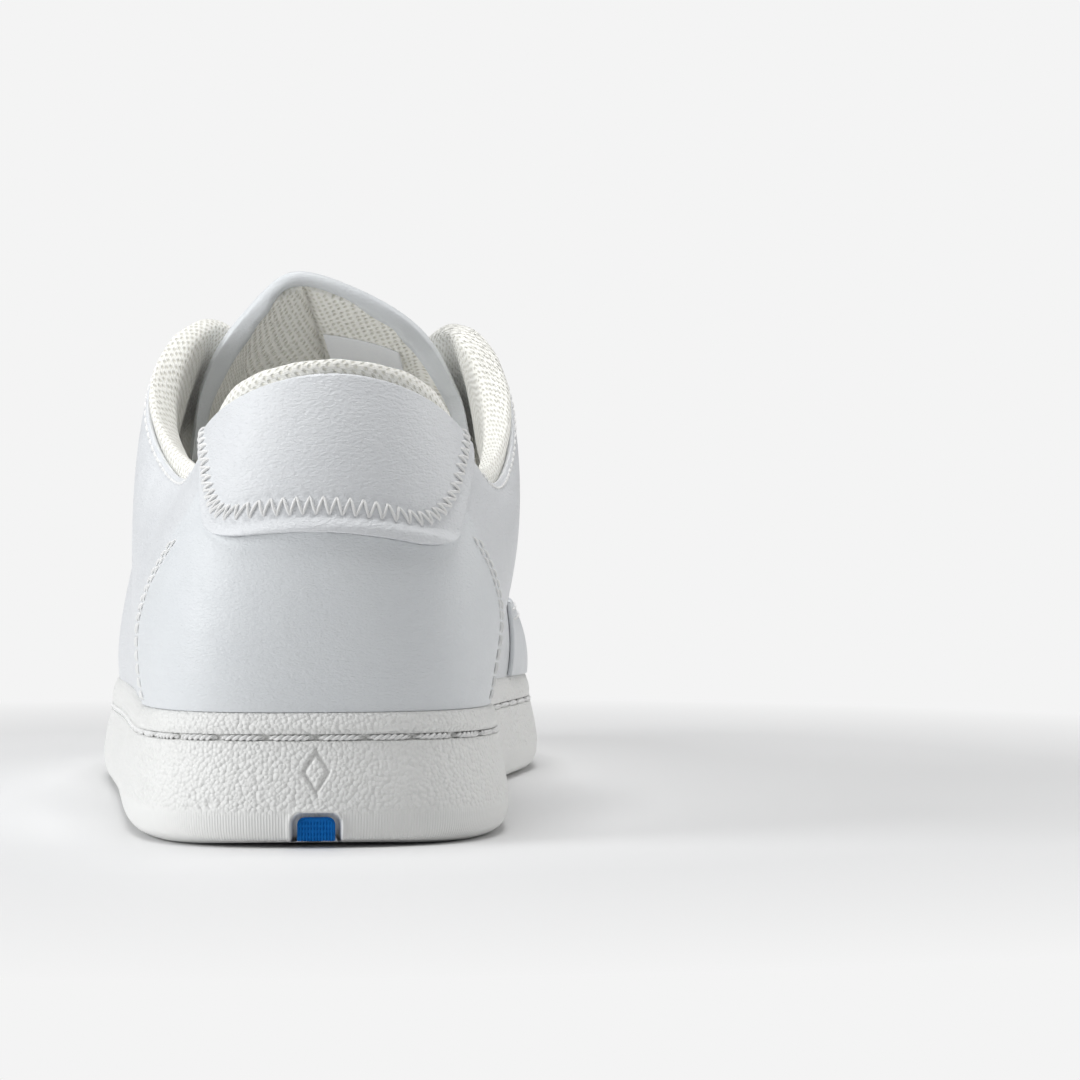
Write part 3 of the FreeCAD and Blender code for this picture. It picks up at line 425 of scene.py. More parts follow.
def tube(path, facing, radius, sides):
    """Points and faces of a round tube along a path; radius has one value for each point."""
    along = unit(np.gradient(path, axis=0))
    across = unit(np.cross(along, facing))
    above = np.cross(across, along)
    angle = np.linspace(0, 2 * np.pi, sides, endpoint=False)
    ring = (across[:, None] * np.cos(angle)[None, :, None]
            + above[:, None] * np.sin(angle)[None, :, None])
    points = path[:, None] + ring * radius[:, None, None]
    closed = np.concatenate([points, points[:, :1]], axis=1).reshape(-1, 3)
    return closed, quads(len(path), sides + 1)


THREAD_SIDES = 7
STITCH_PITCH, STITCH_SEAT = 3.0, 0.12  # and how deep a row sits in the leather


class Bundle:
    """Many small closed shapes that share one mesh."""

    def __init__(self):
        self.points, self.faces, self.size = [], [], 0

    def add(self, points, faces):
        self.points.append(points)
        self.faces.append(np.asarray(faces) + self.size)
        self.size += len(points)

    def make(self, name, material):
        return add_mesh(name, np.concatenate(self.points), np.concatenate(self.faces), material)


def resample(path, facing, spacing):
    """Points every so many mm along a path, with the facing there."""
    run = lengths(path)
    places = np.linspace(0, run[-1], max(2, round(run[-1] / spacing) + 1))
    return pick(places, run, path), unit(pick(places, run, facing))


def stitch(bundle, start, end, facing, thick, crown=0.25, sink=0.35, fill=0.9):
    """One stitch: a short bowed thread whose two ends go down into the leather.

    It rises to its crown, sinks at its ends, and fills a share of the way from start to end.
    """
    t = np.linspace(0, 1, 9)
    centre = (start + end) / 2
    half = (end - start) / 2 * fill
    path = centre + half * (2 * t - 1)[:, None]
    path = path + facing * (crown - (crown + sink) * np.abs(2 * t - 1)[:, None] ** 4)
    radius = thick * (0.55 + 0.45 * np.sqrt(np.sin(np.pi * np.clip(t, 0.02, 0.98))))
    bundle.add(*tube(path, facing, radius, THREAD_SIDES))


# ---- materials
def tint(red, green, blue):
    """Linear colour of an sRGB triple."""
    share = np.array([red, green, blue]) / 255
    linear = np.where(share < 0.04045, share / 12.92, ((share + 0.055) / 1.055) ** 2.4)
    return (*linear.tolist(), 1.0)


class Look:
    """A procedural material that is built up node by node; lengths are in metres."""

    def __init__(self, name, colour, roughness, **sockets):
        self.material = bpy.data.materials.new(name)
        self.material.use_nodes = True
        self.nodes = self.material.node_tree.nodes
        self.links = self.material.node_tree.links
        self.shader = self.nodes["Principled BSDF"]
        self.shader.inputs["Base Color"].default_value = colour
        self.shader.inputs["Roughness"].default_value = roughness
        for socket, value in sockets.items():
            self.shader.inputs[socket.replace("_", " ")].default_value = value
        self.normal = None
        place = self.nodes.new("ShaderNodeTexCoord")
        self.solid, self.flat = place.outputs["Object"], place.outputs["UV"]

    def node(self, kind, inputs, **settings):
        """A shader node whose inputs are values or other nodes' outputs."""
        item = self.nodes.new("ShaderNode" + kind)
        for key, value in settings.items():
            setattr(item, key, value)
        for key, value in inputs.items():
            if hasattr(value, "is_output"):
                self.links.new(value, item.inputs[key])
            else:
                item.inputs[key].default_value = value
        return item

    def noise(self, cell, detail=3.0):
        """Noise whose features are about a cell across."""
        inputs = {"Vector": self.solid, "Scale": 1 / cell, "Detail": detail}
        return self.node("TexNoise", inputs).outputs["Fac"]

    def cells(self, cell):
        """Rounded cells, such as grain; 0 in the middle of each."""
        inputs = {"Vector": self.solid, "Scale": 1 / cell}
        return self.node("TexVoronoi", inputs).outputs["Distance"]

    def turned(self, degrees):
        """Flat coordinates turned by an angle."""
        turn = (0, 0, math.radians(degrees))
        return self.node("Mapping", {"Vector": self.flat, "Rotation": turn}).outputs[0]

    def math(self, kind, a, b=0.0):
        return self.node("Math", {0: a, 1: b}, operation=kind).outputs[0]

    def spread(self, value, low, high, to_low=0.0, to_high=1.0):
        """A value between low and high, stretched to another range."""
        item = self.node("MapRange", {
            "Value": value, "From Min": low, "From Max": high, "To Min": to_low, "To Max": to_high})
        return item.outputs["Result"]

    def bump(self, height, depth, strength=1.0):
        """Relief on top of any that is there already."""
        inputs = {"Height": height, "Distance": depth, "Strength": strength}
        if self.normal is not None:
            inputs["Normal"] = self.normal
        self.normal = self.node("Bump", inputs).outputs["Normal"]
        self.links.new(self.normal, self.shader.inputs["Normal"])

    def colours(self, share, low, high):
        """Colour from low to high as a share goes from 0 to 1."""
        item = self.node("ValToRGB", {"Fac": share})
        item.color_ramp.elements[0].color = low
        item.color_ramp.elements[1].color = high
        self.links.new(item.outputs["Color"], self.shader.inputs["Base Color"])

    def rough(self, noise, low, high):
        """Roughness that wanders between low and high."""
        value = self.spread(noise, 0.3, 0.7, low, high)
        self.links.new(value, self.shader.inputs["Roughness"])


def leather(name, light, dark, grain=0.0012, depth=0.00026, roughness=0.42):
    """Coated leather: soft waves, then creases stretched sideways, then fine grain."""
    look = Look(name, light, roughness, Specular_IOR_Level=0.45)
    look.colours(look.noise(cell=0.012, detail=4.0), dark, light)
    look.rough(look.noise(cell=0.004), roughness - 0.05, roughness + 0.08)
    look.bump(look.noise(cell=0.006, detail=2.0), depth=0.00012)
    squat = look.node("Mapping", {"Vector": look.solid, "Scale": (1.0, 1.0, 2.4)}).outputs[0]
    creases = look.node("TexNoise", {"Vector": squat, "Scale": 1 / grain, "Detail": 2.5,
                                     "Distortion": 0.6}).outputs["Fac"]
    look.bump(creases, depth, strength=0.9)
    look.bump(look.cells(0.6 * grain), -0.3 * depth, strength=0.6)
    return look.material


RIB_BAND = (0.0062, 0.0078)  # heights between which ribs give way to pebbles
RIB_PITCH, RIB_DEPTH = 0.00060, 0.00004
PEBBLE, PEBBLE_DEPTH = 0.00088, 0.00037  # all in m


def rubber(name, light, dark):
    """Warm white rubber: pebbled on the sidewall, ribbed along its foot."""
    look = Look(name, light, 0.48, Specular_IOR_Level=0.4)
    look.colours(look.noise(cell=0.02, detail=4.0), dark, light)
    look.rough(look.noise(cell=0.003), 0.42, 0.54)
    high = look.node("SeparateXYZ", {0: look.solid}).outputs["Z"]
    pebbled = look.spread(high, *RIB_BAND)
    pebbles = look.math("POWER", look.cells(PEBBLE), 1.6)
    look.bump(look.math("MULTIPLY", pebbles, pebbled), -PEBBLE_DEPTH)
    around = look.node("SeparateXYZ", {0: look.flat}).outputs["X"]
    ribs = look.math("SINE", look.math("MULTIPLY", around, 2 * math.pi / RIB_PITCH))
    plain = look.math("SUBTRACT", 1.0, pebbled)
    look.bump(look.math("MULTIPLY", ribs, plain), RIB_DEPTH, strength=0.8)
    return look.material


def spacer_mesh(name, light, painted_hole_shade, pitch=0.00140):
    """Knitted mesh: a staggered lattice of small holes between soft threads, with painted shade
    darkening each hole.
    """
    look = Look(name, light, 0.85, Sheen_Weight=0.35, Sheen_Roughness=0.5)
    inputs = {"Vector": look.turned(45), "Scale": 1 / pitch, "Randomness": 0.22}
    lattice = look.node("TexVoronoi", inputs, voronoi_dimensions="2D").outputs["Distance"]
    rim = look.spread(lattice, 0.10, 0.40)
    # Painted shade: the colour drops to the darker shade inside each hole of the lattice.
    look.colours(rim, painted_hole_shade, light)
    look.bump(rim, depth=0.00030, strength=0.8)
    inputs = {"Vector": look.flat, "Scale": 700.0, "Distortion": 3.0, "Detail": 1.0}
    threads = look.node("TexWave", inputs, bands_direction="Y")
    look.bump(threads.outputs["Fac"], depth=0.00008, strength=0.6)
    look.bump(look.noise(cell=0.0002, detail=2.0), depth=0.00004, strength=0.6)
    return look.material


def woven(name, light, dark, cell):
    """Flat weave: ribs that lean both ways, as in a lace, with painted shade darkening the valleys
    between them.
    """
    look = Look(name, light, 0.8, Sheen_Weight=0.3)
    ribs = [look.node("TexWave", {"Vector": look.turned(lean), "Scale": 0.31 / cell})
            .outputs["Fac"] for lean in (45, -45)]
    both = look.math("MAXIMUM", *ribs)
    # Painted shade: the colour goes from light on the ribs to dark in the valleys between them.
    look.colours(both, dark, light)
    look.bump(both, depth=0.00025, strength=0.9)
    look.bump(look.noise(cell=0.00015, detail=2.0), depth=0.00004)
    return look.material


def fibrous(name, light, dark, cell, depth, roughness=0.8, **sockets):
    """Board, foam and other plain fillers."""
    look = Look(name, light, roughness, **sockets)
    look.colours(look.noise(cell, 5.0), dark, light)
    look.bump(look.noise(cell, 5.0), depth)
    return look.material


WHITE_LEATHER = leather("white_leather", tint(226, 228, 230), tint(221, 223, 226))
SMOOTH_LEATHER = leather("smooth_leather", tint(225, 228, 230), tint(220, 223, 226),
                         0.0010, 0.00016, 0.40)
WHITE_RUBBER = rubber("white_rubber", tint(240, 240, 238), tint(235, 235, 233))
# The second colour is painted shade inside the mesh's holes.
CREAM_MESH = spacer_mesh("cream_mesh", tint(252, 251, 245), tint(226, 224, 212))
# The dark colour of each woven look is painted shade in the valleys of its weave.
THREAD = woven("twisted_thread", tint(247, 247, 246), tint(232, 232, 231), 0.0004)
LACE = woven("lace_weave", tint(242, 242, 242), tint(196, 197, 200), 0.0009)
BLUE = fibrous("blue_rubber", tint(0, 116, 200), tint(0, 102, 184), 0.001, 0.00004, 0.5,
               Specular_IOR_Level=0.15)
FOAM = fibrous("midsole_foam_look", tint(236, 235, 230), tint(222, 221, 216), 0.0012, 0.0002)
BOARD = fibrous("strobel_board_look", tint(226, 222, 210), tint(205, 200, 186), 0.0008, 0.00012)
PUFF = fibrous("stiffener_look", tint(216, 208, 190), tint(200, 192, 172), 0.001, 0.0001)
SHANK = fibrous("shank_plastic_look", tint(60, 62, 66), tint(48, 50, 54), 0.002, 0.00003, 0.35)
LABEL = fibrous("label_look", tint(246, 247, 248), tint(238, 240, 243), 0.0006, 0.00005, 0.55)
AGLET = fibrous("aglet_look", tint(236, 237, 240), tint(226, 228, 232), 0.003, 0.00002, 0.18,
                Transmission_Weight=0.25)
# Its dark colour is painted shade in the valleys of the weave.
SOCK = woven("sock_cover_weave", tint(232, 232, 230), tint(206, 206, 204), 0.0008)


# ---- plies of the upper
# Height of each layer's top above the skin, and its thickness.
BASE_TOP, BASE_THICK = -0.3, 1.3
OVER_TOP, OVER_THICK = 0.95, 1.1
TAB_TOP, TAB_THICK = 1.6, 1.3
LINING_TOP, LINING_THICK = -2.8, 0.8
LINING_FACE = 3.6  # lining's inner face, below the skin
LIP_EDGE = 0.005  # v where the overlays start, just above the rubber
EYESTAY = 20.0  # its width down from the throat's edge
# Curves of u over v (toe_overlay_top: of v over u) that the plies end on.
seam = graph(((-0.3, 0.335), (0.0, 0.335), (0.3, 0.352), (0.6, 0.39), (0.8, 0.42), (1.0, 0.45)))
toe_overlay_top = graph(((0.30, 0.26), (0.36, 0.31), (0.44, 0.35), (0.50, 0.37), (0.56, 0.35),
                         (0.64, 0.31), (0.70, 0.26)))
heel_edge = graph(((-0.3, 0.112), (0.0, 0.113), (0.1, 0.1165), (0.2, 0.1165), (0.3, 0.1135),
                   (0.4, 0.1045), (0.5, 0.0925), (0.6, 0.077), (0.7, 0.064), (0.8, 0.056)))
tab_lateral = graph(((0.5, 0.047), (0.56, 0.050), (0.6, 0.052), (0.7, 0.057), (0.81, 0.062),
                     (0.9, 0.069), (1.0, 0.078)))
tab_medial = graph(((0.5, 0.058), (0.56, 0.060), (0.65, 0.064), (0.75, 0.069), (0.9, 0.078),
                    (1.0, 0.084)))
TAB_FOOT, TAB_CORNER = 0.54, 0.07  # v of the tab's lower edge, and its corners' height
TAB_SKEW, TAB_PINCH = 0.022, 0.020  # how much lower its medial side is; its corners' depth
TAB_HEAD = 0.985  # v where it ends, under the collar's roll
# Stretches of u that the plies cover at their foot.
QUARTER_SPAN, VAMP_SPAN, LINING_SPAN = (0.0008, 0.335), (0.337, 0.663), (0.262, 0.738)
EYESTAY_SPAN, TOE_SPAN = (0.24, 0.76), (0.305, 0.672)
VAMP_UNDER = 0.006  # how far the vamp goes on under the quarters
PANEL_TOP = 0.78  # v of the heel panel's upper edge, under the tab


# Each place below maps a ply's own s and t, 0 to 1, to the skin's u and v.
def quarter_place(side):
    def place(s, t):
        v = mix(tuck_end(side * s * QUARTER_SPAN[1]), 1.0, t)
        return side * mix(QUARTER_SPAN[0], seam(v), s), v
    return place


def vamp_place(s, t):
    v = mix(tuck_end(mix(*VAMP_SPAN, s)), 1.0, t)
    start = seam(v) - VAMP_UNDER
    return mix(start, 1 - start, s), v


def vamp_relief(s, t, distance):
    """The vamp's two ends step down by a ply's thickness, to pass under the quarters."""
    return -1.35 * (1 - ease(0.017, 0.023, np.minimum(s, 1 - s)))


def lining_place(s, t):
    u = mix(*LINING_SPAN, s)
    return u, mix(tuck_end(u), 0.995, t)


def eyestay_place(s, t):
    u = mix(*EYESTAY_SPAN, s)
    return u, mix(down_from_top(u, EYESTAY), 1.0, t)


def toe_place(s, t):
    u = mix(*TOE_SPAN, s)
    return u, mix(LIP_EDGE, toe_overlay_top(u), t)


def panel_place(s, t):
    v = mix(LIP_EDGE, PANEL_TOP, t)
    return mix(-heel_edge(v), heel_edge(v), s), v


def tab_place(s, t):
    foot = TAB_FOOT - TAB_SKEW * s
    v = mix(foot, TAB_HEAD, t ** 1.6)
    turn = np.maximum(0.0, 1 - (v - foot) / TAB_CORNER)
    pinch = TAB_PINCH * (1 - np.sqrt(np.maximum(0.0, 1 - turn * turn)))
    return mix(-tab_lateral(v) + pinch, tab_medial(v) - pinch, s), v


def throat(u, side, down, lift):
    """Point a distance down from the throat's edge on the medial (1) or lateral (-1) side."""
    along = u if side > 0 else 1.0 - u
    return offset(along, down_from_top(along, down), lift)


def eyelet_stations():
    """The u of each of the six lace holes, lowest first, evenly spaced along the throat."""
    places = np.linspace(0.420, 0.273, 201)
    run = lengths(skin(places, 1.0))
    return np.interp(run[-1] * np.arange(6) / 5, run, places)


HOLES = eyelet_stations()


def hole_centres(lift):
    return np.array([throat(u, side, EYELET_INSET, lift) for side in (1, -1) for u in HOLES])


ROW_INSETS = (2.0, 4.5)  # a double row's distances from the edge
GROOVE_WIDTH, GROOVE_DEPTH = 0.7, 0.16  # how a row pulls the leather down


def one_groove(s, t, distance, inset=ROW_INSETS[0]):
    """Relief of a row of stitches, a distance inside the edge."""
    return -GROOVE_DEPTH * np.exp(-((distance - inset) / GROOVE_WIDTH) ** 2)


def two_grooves(s, t, distance):
    return sum(one_groove(s, t, distance, inset) for inset in ROW_INSETS)


def edge_row(place, edge, inset, lift, low, high, count=120):
    """Points and facings along an edge of a ply, a distance inside it.

    The edge is s0, s1, t0 or t1; low and high are the stretch of it that is followed.
    """
    t = np.linspace(low, high, count)
    across = np.linspace(0, 1, 41)
    s_grid, t_grid = grid(across, t)
    if edge[0] == "t":
        s_grid, t_grid = t_grid, s_grid
    run = lengths(skin(*place(s_grid, t_grid)))
    if edge[1] == "1":
        run = run[-1] - run
        order = slice(None, None, -1)
    else:
        order = slice(None)
    found = np.array([np.interp(inset, run[order, k], across[order]) for k in range(count)])
    s, t = (found, t) if edge[0] == "s" else (t, found)
    u, v = place(s, t)
    return offset(u, v, lift), normals(skin, u, v)


def show(piece, material_slot, *nodes, body="shoe"):
    """Attaches a piece to its body and hides the CAD nodes that it stands in for."""
    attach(piece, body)
    if nodes:
        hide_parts(*nodes)


def make_upper():
    """The plies: name, where it lies, look, height and thickness, slot, CAD node, and shape."""
    base, over = (BASE_TOP, BASE_THICK), (OVER_TOP, OVER_THICK)
    base_holes, over_holes = hole_centres(BASE_TOP), hole_centres(OVER_TOP)
    plies = (
        ("quarter_medial_leather", quarter_place(1), WHITE_LEATHER, base, "leather_white",
         "quarter_medial", {"free": (0, 1, 0, 1), "holes": base_holes}),
        ("quarter_lateral_leather", quarter_place(-1), WHITE_LEATHER, base, "leather_white",
         "quarter_lateral", {"free": (0, 1, 0, 1), "holes": base_holes}),
        ("vamp_leather", vamp_place, WHITE_LEATHER, base, "leather_white",
         "vamp", {"free": (0, 0, 0, 1), "relief": vamp_relief, "holes": base_holes}),
        ("forefoot_lining", lining_place, CREAM_MESH, (LINING_TOP, LINING_THICK), "lining_mesh",
         "vamp_lining", {"step": 1.6, "edge": 0.3, "holes": hole_centres(LINING_TOP)}),
        ("eyestay_leather", eyestay_place, SMOOTH_LEATHER, over, "overlay_leather",
         "eyestay", {"step": 0.9, "relief": one_groove, "holes": over_holes}),
        ("toe_overlay_leather", toe_place, SMOOTH_LEATHER, over, "overlay_leather",
         "toe_overlay", {"step": 1.2, "free": (1, 1, 0, 1), "relief": two_grooves}),
        ("heel_panel_leather", panel_place, SMOOTH_LEATHER, over, "overlay_leather",
         "heel_panel", {"step": 0.9, "free": (1, 1, 0, 0), "relief": two_grooves}),
        ("heel_tab_leather", tab_place, WHITE_LEATHER, (TAB_TOP, TAB_THICK), "overlay_leather",
         "heel_tab", {"step": 0.8, "edge": 0.45, "relief": tab_relief, "loose": True}),
    )
    for name, place, look, heights, material_slot, node, shape in plies:
        piece = ply(name, skin, place, look, *heights, **shape)
        show(piece, material_slot, node)


TAB_ROUTE = open_curve((
    (-0.073, 0.99), (-0.060, 0.85), (-0.052, 0.72), (-0.043, 0.63), (-0.022, 0.612),
    (0.0, 0.604), (0.022, 0.598), (0.043, 0.600), (0.056, 0.69), (0.066, 0.84), (0.077, 0.99)))
TAB_ACROSS = open_curve(
    ((-0.006, 0.0),) * 3 + ((-0.005, -0.035),) + ((0.0, -0.05),) * 3 + ((0.005, -0.035),)
    + ((0.006, 0.0),) * 3)
TAB_TURNS = 84  # stitches of the zigzag
TAB_STANDOFF = 1.15  # how far the tab's lower edge stands off the panel
DIMPLE_WIDTH, DIMPLE_DEPTH = 0.7, 0.38  # at each needle hole


def tab_corners():
    """Needle holes of the zigzag, as (u, v), alternately on its outer and inner side."""
    t = np.linspace(0, 1, TAB_TURNS + 1)
    swing = np.where(np.arange(TAB_TURNS + 1) % 2, 0.5, -0.5)[:, None]
    return TAB_ROUTE(t) + swing * TAB_ACROSS(t)


def tab_relief(s, t, distance):
    """Dimples at the needle holes, and a lower edge that stands a little off the panel."""
    a, b = tab_place(s, t)
    gap = size_of(skin(a, b)[:, :, None] - skin(*tab_corners().T)).min(axis=2)
    lifted = TAB_STANDOFF * ease(0.585, TAB_FOOT, b)
    return lifted - DIMPLE_DEPTH * np.exp(-(gap / DIMPLE_WIDTH) ** 2)


def thread_rows():
    """Every straight row: thread, ply, edge, inset, height, and the stretch of the edge."""
    over, base = OVER_TOP - STITCH_SEAT, BASE_TOP - STITCH_SEAT
    rows = [(0.30, panel_place, edge, inset, over, 0.02, 0.76)
            for inset in ROW_INSETS for edge in ("s0", "s1")]
    rows += [(0.32, eyestay_place, edge, inset, over, 0.01, 0.99)
             for edge, inset in (("t1", 2.0), ("t0", 2.0), ("t0", 4.0))]
    rows += [(0.32, toe_place, "t1", inset, over, 0.01, 0.99) for inset in ROW_INSETS]
    for side in (1, -1):
        rows += [(0.32, quarter_place(side), "s1", inset, base, 0.28, 0.86)
                 for inset in ROW_INSETS]
        rows.append((0.32, quarter_place(side), "t1", 2.2, base, 0.22, 0.75))
    return rows


def make_stitching():
    """Thread rows along the edges of the overlays, and the zigzag round the heel tab."""
    rows = Bundle()
    for thick, *row in thread_rows():
        points, facing = resample(*edge_row(*row), STITCH_PITCH)
        for p, q, n in zip(points, points[1:], facing):
            stitch(rows, p, q, n, thick)
    show(rows.make("overlay_stitching", THREAD), "thread_white")
    zigzag = Bundle()
    corners = tab_corners()
    placed = offset(*corners.T, TAB_TOP + 0.05)
    facing = normals(skin, *corners.T)
    for p, q, n in zip(placed, placed[1:], facing):
        stitch(zigzag, p, q, n, thick=0.33, crown=0.20, sink=0.5, fill=0.98)
    show(zigzag.make("heel_tab_zigzag", THREAD), "thread_white", "heel_tab_stitching")


# ---- padded collar
pad_depth = graph(((0.0, 1.0), (0.19, 1.0), (0.225, 0.85), (0.25, 0.55), (0.262, 0.48)))
collar_rise = graph(((0.0, 0.047), (0.03, 0.055), (0.06, 0.09), (0.09, 0.125), (0.125, 0.11),
                     (0.19, 0.055), (0.27, 0.045)))
COLLAR_PAD = 8.0  # depth of the padding below the skin at the heel
COLLAR_SEAT = 1.75  # how deep its edge lies under the leather's
COLLAR_END = 0.2655  # u where the collar fabric ends, over the lining


def collar(u, w):
    """Face of the collar fabric: from under the leather's top edge, over the roll, to the foot."""
    u, w = np.broadcast_arrays(np.asarray(u, float), np.asarray(w, float))
    shape, u, w = u.shape, u.ravel(), w.ravel()
    from_heel = np.abs((u + 0.5) % 1.0 - 0.5)
    pad = COLLAR_PAD * pad_depth(from_heel)
    low = -(LINING_FACE + (pad - LINING_FACE) * 0.55)
    rise = collar_rise(from_heel)
    one = np.ones_like(u)
    keys = np.stack([np.stack([one * v, one * lift], axis=-1) for v, lift in (
        (0.90, -COLLAR_SEAT), (0.985, -COLLAR_SEAT),
        (1.0 + 0.5 * rise, -0.3), (1.0 + rise, -pad * 0.16),
        (1.0 + 0.7 * rise, -pad * 0.8), (0.94, -pad), (0.82, -pad), (0.68, -pad * 0.95),
        (0.55, low),
        (0.40, -LINING_FACE - 0.5), (0.20, -LINING_FACE), (0.0, -LINING_FACE),
        (tuck_end(u), -LINING_FACE))])
    v, lift = open_curve(keys)(w).T
    return offset(u, v, lift).reshape(shape + (3,))


def collar_place(s, t):
    return mix(-COLLAR_END, COLLAR_END, s), t


ROLL_TOP, GATHER_HEIGHT = 0.26, 0.16  # where across the fabric it gathers, and how high
HOLD_ROW, HOLD_DEPTH = 0.62, 0.7  # the row that holds the padding down


def collar_relief(s, t, distance):
    """Soft gathers over the roll, and a dip along the row that holds the padding down."""
    u = mix(-COLLAR_END, COLLAR_END, s)
    roll = np.exp(-((t - ROLL_TOP) / 0.10) ** 2)
    gather = np.sin(u * 310) * 0.5 + np.sin(u * 173 + 1.3) * 0.5
    held = -HOLD_DEPTH * np.exp(-((t - HOLD_ROW) / 0.02) ** 2)
    return GATHER_HEIGHT * roll * gather + held


def make_collar():
    piece = ply("collar_padding", collar, collar_place, CREAM_MESH, 0.0, 0.8, step=1.3,
                edge=0.3, relief=collar_relief)
    show(piece, "lining_mesh", "collar_lining", "collar_foam")


# ---- tongue
TONGUE_CLEAR = 6.9  # how far below the skin it lies, under the lace
TONGUE_CREST = (  # its free end, from medial to lateral
    (38.5, 124, 77), (34, 121.5, 96), (21.5, 119, 113), (-3.5, 118, 123.4), (-17.5, 119, 113.5),
    (-27, 121, 98), (-30.5, 124, 77),
)
TONGUE_STATIONS = (0.415, 0.385, 0.355, 0.325, 0.298, 0.272)
TONGUE_DOWN = (24.0, 13.0, 2.0)  # distances down from the throat's edge at each
TONGUE_ROOT = ((0.43, 24), (0.45, 19), (0.475, 15), (0.5, 14))
tongue_pad = graph(((0.0, 2.6), (0.10, 2.7), (0.22, 5.0), (0.5, 6.5), (0.78, 5.0), (0.90, 2.7),
                    (1.0, 2.6)))
tongue_rim = graph(((0.0, 0.055), (0.25, 0.050), (0.47, 0.016), (0.53, 0.016), (0.75, 0.050),
                    (1.0, 0.055)))
SHELL = 1.1  # thickness of its leather
TONGUE_WIDE, TONGUE_LONG = 100, 118  # about how far it is across and along
TONGUE_HEM = (0.095, 0.075)  # width in a of the leather round each flank


def between_edges(u, rise):
    """Middle of the throat at a station, raised by a height."""
    return (skin(u, 1.0) + skin(1.0 - u, 1.0)) / 2 + np.array([0.0, 0.0, rise])


def tongue_row(u):
    """Keys across the tongue at one station of the throat."""
    keys = [throat(u, 1, down, -TONGUE_CLEAR) for down in TONGUE_DOWN]
    keys.append(between_edges(u, -5.0))
    return keys + [throat(u, -1, down, -TONGUE_CLEAR) for down in TONGUE_DOWN[::-1]]


def tongue_root():
    """Keys across the tongue's sewn end, which curves round the foot of the throat."""
    keys = [throat(u, 1, down, -TONGUE_CLEAR) for u, down in TONGUE_ROOT]
    return keys + [throat(u, -1, down, -TONGUE_CLEAR) for u, down in TONGUE_ROOT[-2::-1]]


TONGUE_ROWS = [open_curve(row) for row in (
    tongue_root(), *(tongue_row(u) for u in TONGUE_STATIONS), TONGUE_CREST)]


def tongue(a, b):
    """Outer face of the tongue: a across from medial to lateral, b from the root to the crest."""
    a, b = np.broadcast_arrays(np.clip(a, 0, 1), np.clip(b, 0, 1))
    shape, a, b = a.shape, a.ravel(), b.ravel()
    rows = np.stack([row(a) for row in TONGUE_ROWS])
    return open_curve(rows)(b).reshape(shape + (3,))


def tongue_depth(a, b):
    """Thickness of the tongue: padded in the middle, thin at its sides, root and crest."""
    full = tongue_pad(a) * np.minimum(1.0, 0.42 + 1.2 * b) * (1 - 0.2 * ease(0.90, 1.0, b))
    return np.maximum(2.4, full)


def tongue_piece(name, material, top, bottom, sides=(0.0, 1.0), ends=(0.0, 1.0), edge=0.8,
                 step=1.4):
    """Closed piece between two depths below the tongue's face, with rounded edges."""
    s, t = grid(spaced(TONGUE_WIDE, step, edge), spaced(TONGUE_LONG, step, edge))
    a, b = mix(*sides, s), mix(*ends, t)
    near_a, near_b = np.clip(a, 0.003, 0.997), np.clip(b, 0.003, 0.997)
    base = tongue(a, b)
    normal = -normals(tongue, near_a, near_b)
    run_s, run_t = lengths(base, 0), lengths(base, 1)
    high, low = top(a, b), bottom(a, b)
    half = (low - high) / 2
    drop = np.minimum(rounding(to_edge(run_s, run_t), edge), half * 0.9)
    outer = base + normal * (high + drop)[..., None]
    inner = base + normal * (low - drop)[..., None]
    return slab(name, outer, inner, slab_faces(base, -normal), material, run_s, run_t)


def tongue_crease(a, b):
    """Depth of the fold down the middle of the tongue's lining, from the crest."""
    return 3.4 * np.exp(-np.abs(a - 0.50) / 0.012) * ease(0.70, 0.85, b)


def tongue_border(a, b):
    """1 in the smooth band round the tongue's free edges, 0 inside it."""
    side = np.minimum(a - TONGUE_HEM[0], 1 - TONGUE_HEM[1] - a) / 0.025
    crest = (1 - b - tongue_rim(a)) / 0.020
    return 1 - ease(-0.5, 0.5, np.minimum(side, crest))


def make_tongue():
    """Leather with a turned edge, a padded lining inside it, and a blank label."""
    shell = tongue_piece(
        "tongue_leather", SMOOTH_LEATHER, lambda a, b: 0 * a,
        lambda a, b: mix(SHELL, tongue_depth(a, b) + 0.7, tongue_border(a, b)), edge=3.6,
        step=0.9)
    show(shell, "leather_white", "tongue_shell", body="tongue")
    lining = tongue_piece(
        "tongue_lining_pad", CREAM_MESH, lambda a, b: 0 * a + SHELL + 0.15,
        lambda a, b: tongue_depth(a, b) - tongue_crease(a, b),
        sides=(0.086, 0.932), ends=(0.0, 0.984), edge=0.9, step=0.9)
    show(lining, "lining_mesh", "tongue_lining", "tongue_foam", body="tongue")
    label = tongue_piece(
        "tongue_size_tab", LABEL, lambda a, b: tongue_depth(a, b) + 0.05,
        lambda a, b: tongue_depth(a, b) + 0.5, sides=(0.35, 0.485), ends=(0.85, 0.935), edge=0.2,
        step=2.5)
    show(label, "label_grey", "tongue_label", body="tongue")


# ---- lace
LACE_UNDER, LACE_OVER = -5.0, 2.2  # heights of its runs under and over the leather
LACE_HALF, LACE_THICK = 3.5, 1.1
# Half widths where it is folded: in a hole, beside one, and under the throat's edge.
IN_HOLE, AT_HOLE, AT_EDGE = 1.3, 2.2, 2.7
TAIL_DOWN = 17.5  # how far below the throat's edge the tails lie


def tail_station(holes_on):
    """The u a number of holes back down from the last one."""
    step = int(holes_on)
    return mix(HOLES[-1 - step], HOLES[-2 - step], holes_on - step)


